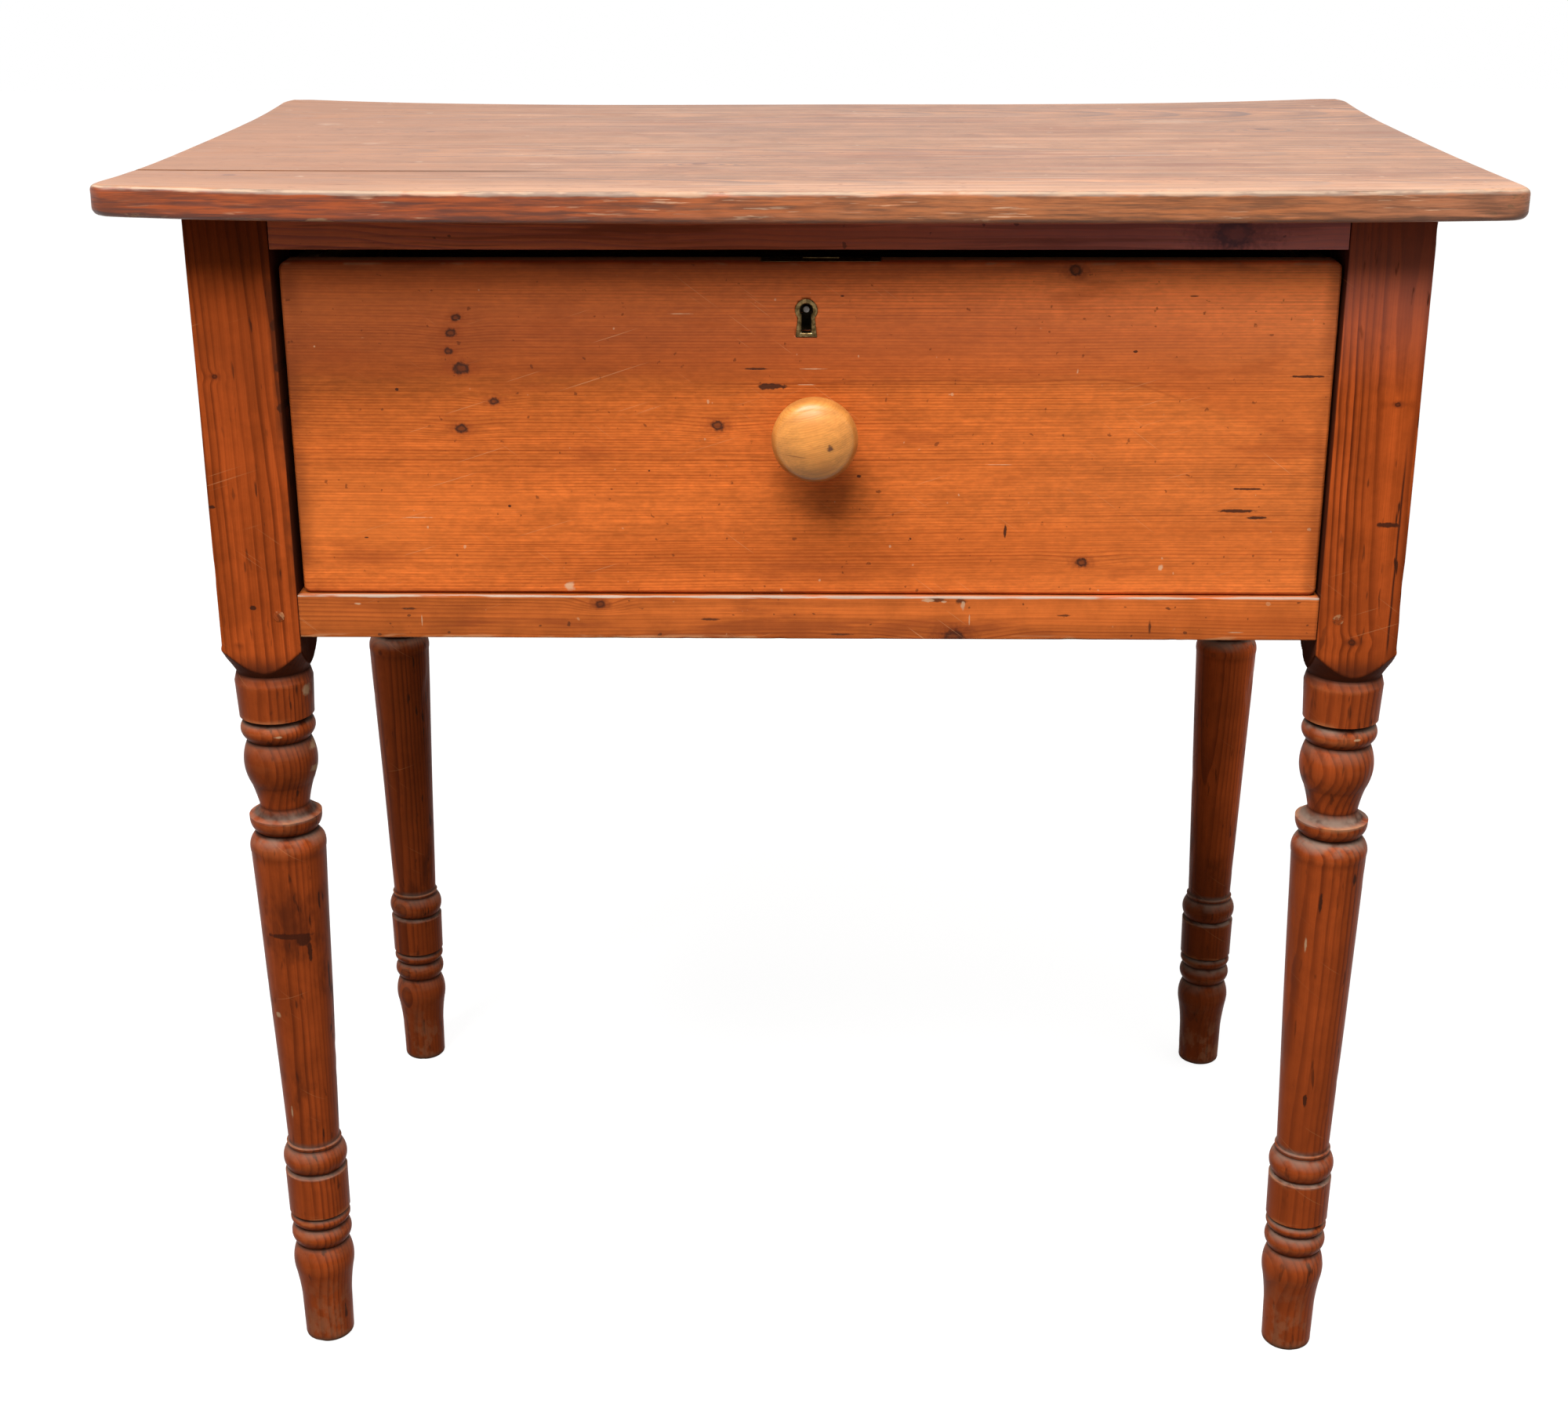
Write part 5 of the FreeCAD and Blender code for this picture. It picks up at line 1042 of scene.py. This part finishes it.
def bake_modifier(thing, modifier):
    """The plain mesh that an object makes with its modifier, which is then removed."""
    bpy.context.view_layer.update()
    graph = bpy.context.evaluated_depsgraph_get()
    mesh = bpy.data.meshes.new_from_object(thing.evaluated_get(graph))
    thing.modifiers.remove(modifier)
    return mesh


def worn_solid(node, beyond, radius, chip, step, material, body, seed):
    """Cuts a copy of a solid back to a worn skin that stands this many mm beyond each side of it."""
    low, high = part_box(node)
    start = [low[i] - beyond[i] * MM for i in range(3)]
    end = [high[i] + beyond[i + 3] * MM for i in range(3)]
    points, faces = worn_skin(start, end, radius, chip, step * MM, seed)
    skin = put_in_scene(node + "_skin", quad_mesh(node + "_skin", points, faces))
    block = put_in_scene(node + "_block", plain_mesh(node + "_block", merged(node)))
    cut = block.modifiers.new("cut", "BOOLEAN")
    cut.operation = "INTERSECT"
    cut.solver = "MANIFOLD"
    cut.object = skin
    mesh = bake_modifier(block, cut)
    for thing in (skin, block):
        bpy.data.objects.remove(thing)
    settle(node + "_worn", mesh, material, body, [node], 32)
    print(node, "faces:", len(mesh.polygons))


HAIR = -0.05
OVER = 3
worn_solid("drawer_front", (HAIR, HAIR, HAIR, HAIR, OVER, HAIR), 0.9, 0.8, 2.2,
           pine_drawer, "drawer", 11)
for node, beyond, radius, chip, step, finish, seed in (
        ("lower_front_rail", (OVER, HAIR, HAIR, OVER, OVER, -0.02), 0.8, 0.9, 2.0, pine_rails, 17),
        ("upper_front_rail", (OVER, HAIR, HAIR, OVER, OVER, OVER), 0.5, 0.4, 2.5, pine_rails, 23),
        ("left_apron", (HAIR, OVER, HAIR, OVER, OVER, OVER), 0.8, 0.8, 4.0, pine_aprons, 29),
        ("right_apron", (OVER, OVER, HAIR, HAIR, OVER, OVER), 0.8, 0.8, 4.0, pine_aprons, 31),
        ("back_apron", (OVER, OVER, HAIR, OVER, HAIR, OVER), 0.8, 0.8, 4.0, pine_aprons, 37)):
    worn_solid(node, beyond, radius, chip, step, finish, "table_frame", seed)

# %% [markdown]
# ## Turned legs
# A leg is a stick spun on a lathe below a square head. The shape follows a rule, so
# Geometry Nodes make it: an upright line of points, each with the radius the gouge left
# there, is swept with a circle, and what stands outside the square stick is cut back to
# its flats. That cut alone gives the rounded shoulders where square meets round.
# The line also carries where a groove, a ledge or a rubbed edge is, for the finish.

# %% The lathe
# Turning points in mm: the way from the point before, up in the foot and down in the head,
# then the radius, and how far the stretch above it swells.
FOOT_TURNING = [(0, 14.6, 0.4), (2.5, 16.0, 0), (28.5, 16.5, -0.3), (20, 18.8, 2.0), (22, 16.4, 3.1),
                (14.4, 16.5, 2.7), (9, 17.0, 0), (1, 19.7, 0), (29.8, 20.1, 0), (1.4, 17.7, 3.2),
                (17.6, 17.2, 0), (2.6, 17.8, 0), (0.8, 16.6, 0)]
HEAD_TURNING = [(17.4, 22.4, -0.5), (1.2, 21.8, 0), (1.6, 22.5, 0), (4.6, 23.7, 0), (22.8, 22.6, 0),
                (1.6, 19.6, 0), (13.6, 19.0, 3.4), (29.2, 18.8, 3.5), (14.4, 15.3, -0.3), (6.4, 22.1, -1.5),
                (1.8, 22.1, 0), (9, 17.9, 1.2), (13.9, 23.0, 2.4)]
SQUARE_END = 492.0
LEG_TOP = 745.0
LEG_HALF = 24 * MM
SHOULDER = 34.56
CORNER_REACH = 33.25


def arc(start, end, swell, step):
    """Points from start to end, both (height, radius) in mm, bulging outwards by swell."""
    rise, out = end[0] - start[0], end[1] - start[1]
    chord = math.hypot(rise, out)
    count = max(1, round(chord / step))
    track = []
    for n in range(1, count + 1):
        t = n / count
        bulge = 4 * swell * t * (1 - t)
        track.append((start[0] + rise * t - bulge * out / chord, start[1] + out * t + bulge * rise / chord))
    return track


def leg_profile():
    """Heights and radii of a leg from the floor to the top, in mm."""
    height = 0.0
    track = [(0.0, FOOT_TURNING[0][1])]
    for (_, radius, swell), (rise, radius_next, _) in zip(FOOT_TURNING, FOOT_TURNING[1:]):
        track += arc((height, radius), (height + rise, radius_next), swell, 1.3)
        height += rise
    head = [(SQUARE_END, SHOULDER, 0)]
    level_now = SQUARE_END
    for drop, radius, swell in HEAD_TURNING:
        level_now -= drop
        head.append((level_now, radius, swell))
    head.reverse()
    track += arc(track[-1], head[0][:2], 0, 3.5)
    for (low, radius, swell), (high, radius_next, _) in zip(head, head[1:]):
        track += arc((low, radius), (high, radius_next), swell, 1.3)
    track += arc((SQUARE_END, SHOULDER), (SQUARE_END + 3, CORNER_REACH), 0, 1.0)
    return np.array(track + arc((SQUARE_END + 3, CORNER_REACH), (LEG_TOP, CORNER_REACH), 0, 4.0))


def surface_marks(track):
    """Where the profile lies in a groove, faces upwards or stands out to be rubbed."""
    heights, radii = track.T
    even = np.arange(heights.min(), heights.max(), 0.5)
    line = np.interp(even, heights, radii)
    window = np.hanning(19)
    blurred = np.convolve(np.pad(line, 9, mode="edge"), window / window.sum(), mode="valid")
    turned_part = np.clip((SQUARE_END - 11 - even) / 3, 0, 1)
    hollow = np.clip((blurred - line) / 0.36 - 0.08, 0, 1) * turned_part
    worn_here = np.clip((line - blurred) / 0.9, 0, 1) * turned_part
    slope = -np.gradient(line, even)
    ledge = np.clip((slope - 0.15) / 0.6, 0, 1) * turned_part
    return [np.interp(heights, even, part) for part in (hollow, ledge, worn_here)]


def new_tree(name, inputs):
    """An empty tree that takes a geometry and these inputs, and the wires from them."""
    tree = bpy.data.node_groups.new(name, "GeometryNodeTree")
    for label, kind in {"Geometry": "Geometry", **inputs}.items():
        tree.interface.new_socket(label, in_out="INPUT", socket_type="NodeSocket" + kind)
    tree.interface.new_socket("Geometry", in_out="OUTPUT", socket_type="NodeSocketGeometry")
    given = tree.nodes.new("NodeGroupInput").outputs
    return tree, [Wire(tree, given[n]) for n in range(len(inputs) + 1)]


def close_tree(tree, geometry, wood):
    """Ends a tree in plain geometry with its material."""
    whole = plug(tree, "GeometryNodeRealizeInstances", Geometry=geometry)
    dressed = plug(tree, "GeometryNodeSetMaterial", Geometry=whole, Material=wood)
    feed(tree.nodes.new("NodeGroupOutput").inputs[0], dressed)
    return tree


def lathe_tree():
    """Sweeps a line of points with its radii, trims it to a square and dents it."""
    inputs = {"Half width": "Float", "Sides": "Int", "Dent": "Float", "Seed": "Float", "Wood": "Material"}
    tree, (line, half, sides, dent, seed, wood) = new_tree("lathe", inputs)
    path = plug(tree, "GeometryNodeMeshToCurve", Mesh=line)
    radius = plug(tree, "GeometryNodeInputNamedAttribute", Name="radius")
    swept = plug(tree, "GeometryNodeSetCurveRadius", Curve=path, Radius=radius)
    ring = plug(tree, "GeometryNodeCurvePrimitiveCircle", Resolution=sides, Radius=1.0)
    spread = plug(tree, "GeometryNodeInputRadius")
    body = plug(tree, "GeometryNodeCurveToMesh", Curve=swept, Profile_Curve=ring, Scale=spread,
                Fill_Caps=True)
    x, y, z = split(plug(tree, "GeometryNodeInputPosition"))
    flats = [reckon(tree, "MAXIMUM", reckon(tree, "MINIMUM", v, half), half * -1.0) for v in (x, y)]
    trimmed = plug(tree, "GeometryNodeSetPosition", Geometry=body, Position=merge(tree, *flats, z))
    rough = cloud(x * 55.0 + seed, y * 55.0, z * 26.0, 2.0) - 0.62
    nicks = reckon(tree, "MINIMUM", rough * -1.0, 0.04) - 0.04
    slow = cloud(x * 9.0 + seed, y * 9.0, z * 7.0, 1.0) - 0.75
    sunk = (nicks * 4.0 + reckon(tree, "MINIMUM", slow, 0.0)) * dent
    normal = plug(tree, "GeometryNodeInputNormal")
    move = plug(tree, "ShaderNodeVectorMath", normal, settings={"operation": "SCALE"}, Scale=sunk)
    dented = plug(tree, "GeometryNodeSetPosition", Geometry=trimmed, Offset=move)
    return close_tree(tree, dented, wood)


def socket_of(tree, name):
    """The identifier of a tree's input."""
    return [i.identifier for i in tree.interface.items_tree if i.name == name and i.in_out == "INPUT"][0]


def grow(name, mesh, tree, values):
    """Runs a tree on a mesh and gives back the plain mesh it makes."""
    seed = put_in_scene(name, mesh)
    maker = seed.modifiers.new("make", "NODES")
    maker.node_group = tree
    for label, value in values.items():
        maker[socket_of(tree, label)] = value
    result = bake_modifier(seed, maker)
    bpy.data.objects.remove(seed)
    return result


def turning(name, track, marks, values):
    """Spins a profile, in mm, about the z axis and gives back the mesh in metres."""
    line = bpy.data.meshes.new(name + "_line")
    line.from_pydata([(0, 0, h * MM) for h, _ in track], [(i, i + 1) for i in range(len(track) - 1)], [])
    for label, column in {"radius": track[:, 1] * MM, **marks}.items():
        line.attributes.new(label, "FLOAT", "POINT").data.foreach_set("value", column)
    return grow(name, line, lathe, values)


lathe = lathe_tree()
track = leg_profile()
marks = dict(zip(("hollow", "ledge", "worn"), surface_marks(track)))
places = (("front_left_leg", -LEG_X, FRONT_LEG_Y), ("front_right_leg", LEG_X, FRONT_LEG_Y),
          ("rear_left_leg", -LEG_X, REAR_LEG_Y), ("rear_right_leg", LEG_X, REAR_LEG_Y))
for order, (leg, x, y) in enumerate(places):
    settings = {"Half width": LEG_HALF, "Sides": 128, "Dent": 0.0009, "Seed": 3.0 + order * 5.3,
                "Wood": pine_legs}
    mesh = turning(leg + "_turned", track, marks, settings)
    mesh.transform(Matrix.Translation((x, y, 0)))
    settle(leg + "_turned", mesh, pine_legs, "table_frame", [leg], 32)
    print(leg, "quads:", len(mesh.polygons))

# %% [markdown]
# ## The knob
# The knob came off the same lathe: a spigot glued into the drawer front, a short neck,
# and a flat mushroom head with a soft edge. The same tree spins it, with a square too
# wide to cut anything, and it is then laid along the drawer's depth.

# %% Knob
FACE_Y = -201.0
# Stretches in mm: where each ends, out from the face and in radius, its swell and its step.
KNOB_TURNING = [((5, 10), 1.2, 0.5), ((9, 10), 0.0, 0.5), ((20.0, 23.6), -2.2, 0.6),
                ((26.5, 23.3), 0.85, 0.4), ((31.5, 18.6), 0.75, 0.4), ((35.9, 0.4), 1.5, 0.8)]
knob_track = [(-19.5, 8.0), (0.0, 8.0), (0.02, 14.0)]
for end, swell, step in KNOB_TURNING:
    knob_track += arc(knob_track[-1], end, swell, step)
settings = {"Half width": 1.0, "Sides": 96, "Dent": 0.0002, "Seed": 41.0, "Wood": wood_knob}
mesh = turning("knob_turned", np.array(knob_track), {}, settings)
seat = Matrix.Translation((KNOB_X * MM, FACE_Y * MM, KNOB_Z * MM))
mesh.transform(seat @ Matrix.Rotation(math.pi / 2, 4, "X"))
settle("knob_turned", mesh, wood_knob, "drawer", ["knob"], 40)
print("knob quads:", len(mesh.polygons))

# %% [markdown]
# ## Pegs
# Each mortise joint is held by a wooden peg driven through it. The pegs were whittled,
# so no two are the same: they are nine sided, each a little slimmer one way than the
# other, and stand a hair proud. One peg is made and Geometry Nodes set it at each hole.

# %% Pegs
PEG_RADIUS = 3.5 * MM
PEG_LENGTH = 20 * MM


def peg_tree():
    """Sets a whittled peg on each point, along the point's facing."""
    inputs = {"Radius": "Float", "Length": "Float", "Wood": "Material"}
    tree, (points, radius, length, wood) = new_tree("pegs", inputs)
    stick = plug(tree, "GeometryNodeMeshCylinder", Vertices=9, Side_Segments=6, Fill_Segments=2,
                 Radius=radius, Depth=length)
    x, y, z = split(plug(tree, "GeometryNodeInputPosition"))
    at_end = smooth(z, length * 0.45, length * 0.5)
    rounded = smooth(reckon(tree, "SQRT", x * x + y * y), 0.0, radius) * at_end
    shift = merge(tree, 0.0, 0.0, length * -0.5 + rounded * -0.0003)
    whittled = plug(tree, "GeometryNodeSetPosition", Geometry=stick, Offset=shift)
    vector = {"data_type": "FLOAT_VECTOR"}
    facing = plug(tree, "GeometryNodeInputNamedAttribute", settings=vector, Name="facing")
    turn = plug(tree, "FunctionNodeAlignRotationToVector", settings={"axis": "Z"}, Vector=facing)
    size = plug(tree, "FunctionNodeRandomValue", (0.94, 0.94, 1.0), (1.0, 1.0, 1.0), settings=vector, Seed=7)
    each = plug(tree, "GeometryNodeInstanceOnPoints", Points=points, Instance=whittled, Rotation=turn,
                Scale=size)
    return close_tree(tree, each, wood)


# Where the holes are, in mm.
PROUD = 0.25
PEG_OUT = 309
SIDE_FACE = 345
FRONT_FACE = -205
BACK_FACE = 225
RAIL_MIDDLE = 513
TENON_HEIGHTS = (557.5, 687.5)
TENON_DEPTHS = (-169, 189)
places, facings = [], []
for sx in (-1, 1):
    places.append((sx * PEG_OUT, FRONT_FACE - PROUD, RAIL_MIDDLE))
    facings.append((0, -1, 0))
    for height in TENON_HEIGHTS:
        for depth in TENON_DEPTHS:
            places.append((sx * (SIDE_FACE + PROUD), depth, height))
            facings.append((sx, 0, 0))
        places.append((sx * PEG_OUT, BACK_FACE + PROUD, height))
        facings.append((0, 1, 0))
spots = bpy.data.meshes.new("peg_places")
spots.from_pydata([tuple(c * MM for c in p) for p in places], [], [])
spots.attributes.new("facing", "FLOAT_VECTOR", "POINT").data.foreach_set("vector", np.ravel(facings))
settings = {"Radius": PEG_RADIUS, "Length": PEG_LENGTH, "Wood": wood_peg}
mesh = grow("drawbore_pegs_whittled", spots, peg_tree(), settings)
settle("drawbore_pegs_whittled", mesh, wood_peg, "table_frame", ["drawbore_pegs"], 25)
print("pegs:", len(places))

# %% [markdown]
# ## The keyhole's lining
# The brass lining is a thin frame let into the drawer front. Its solid has sharp edges,
# and a century of keys has rounded the real one, so a merged copy gets a small bevel.
# Its lip is painted bright, as rubbed brass and a painted highlight, and the hole is
# painted black as painted shade.

# %% Keyhole lining
def lining_brass():
    """Dark brass outside, rubbed bright with a painted highlight round the hole, and painted black inside it
    as painted shade.
    """
    f = Finish("lining brass", gloss=0.34, shine=0.5)
    f.shader.inputs["Metallic"].default_value = 1.0
    rubbed = smooth(f.noise(500, 500, 500, 3.0), 0.35, 0.65)
    f.colour = tint(f.tree, rubbed, (0.06, 0.038, 0.014), (0.18, 0.115, 0.047))
    f.height = f.noise(1500, 1500, 1500, 2.0) * 0.3
    f.rough = f.rough + rubbed * -0.08
    # Rubbed brass and a painted highlight: the rim of the hole is bright.
    f.lay(f.read("lip_rub_and_highlight") * 0.9, (0.62, 0.50, 0.26), -0.1)
    # Painted shade: black inside the hole, behind the drawer's face.
    f.lay(smooth(f.y - front_low.y, -0.0002, 0.0006) * 0.95, (0.012, 0.009, 0.006), 0.3)
    return f.done(0.15, 0.0002)


whole = merged("escutcheon")
bmesh.ops.dissolve_limit(whole, angle_limit=0.02, verts=whole.verts, edges=whole.edges)
lips = [e for e in whole.edges if len(e.link_faces) == 2 and e.calc_face_angle() > 0.9]
lip_rub_and_highlight = whole.faces.layers.float.new("lip_rub_and_highlight")
middle = sum((v.co for v in whole.verts), Vector()) / len(whole.verts)
rounded = bmesh.ops.bevel(whole, geom=lips, offset=0.30 * MM, segments=2, profile=0.5, affect="EDGES")
for face in rounded["faces"]:
    away = face.calc_center_median() - middle
    face[lip_rub_and_highlight] = float(away.x * face.normal.x + away.z * face.normal.z < 0.0)
bmesh.ops.triangulate(whole, faces=whole.faces)
mesh = plain_mesh("escutcheon_rounded", whole)
settle("escutcheon_rounded", mesh, lining_brass(), "drawer", ["escutcheon"], 50)
print("lining faces:", len(mesh.polygons))

# %% [markdown]
# ## Everything else keeps its solid
# The remaining solids already have the right shape, so each only gets its finish.

# %% Dress the solids
IRON = ("top_screws", "drawer_bottom_nails", "lock_case", "lock_drill_pin", "lock_tumbler", "lock_screws")
METALS = {"lock_plate": old_brass, "lock_bolt": old_brass, **dict.fromkeys(IRON, old_iron)}
for name, piece in nodes.items():
    finish = METALS.get(name, pine_bare)
    if not piece.material_slots:
        piece.data.materials.append(finish)
    for holder in piece.material_slots:
        holder.material = finish
print("solids dressed:", sum(not piece.hide_render for piece in nodes.values()))

# %% [markdown]
# ## Finish
# The dressed table must stay the size of the solids.

# %% Sizes
bpy.context.view_layer.update()
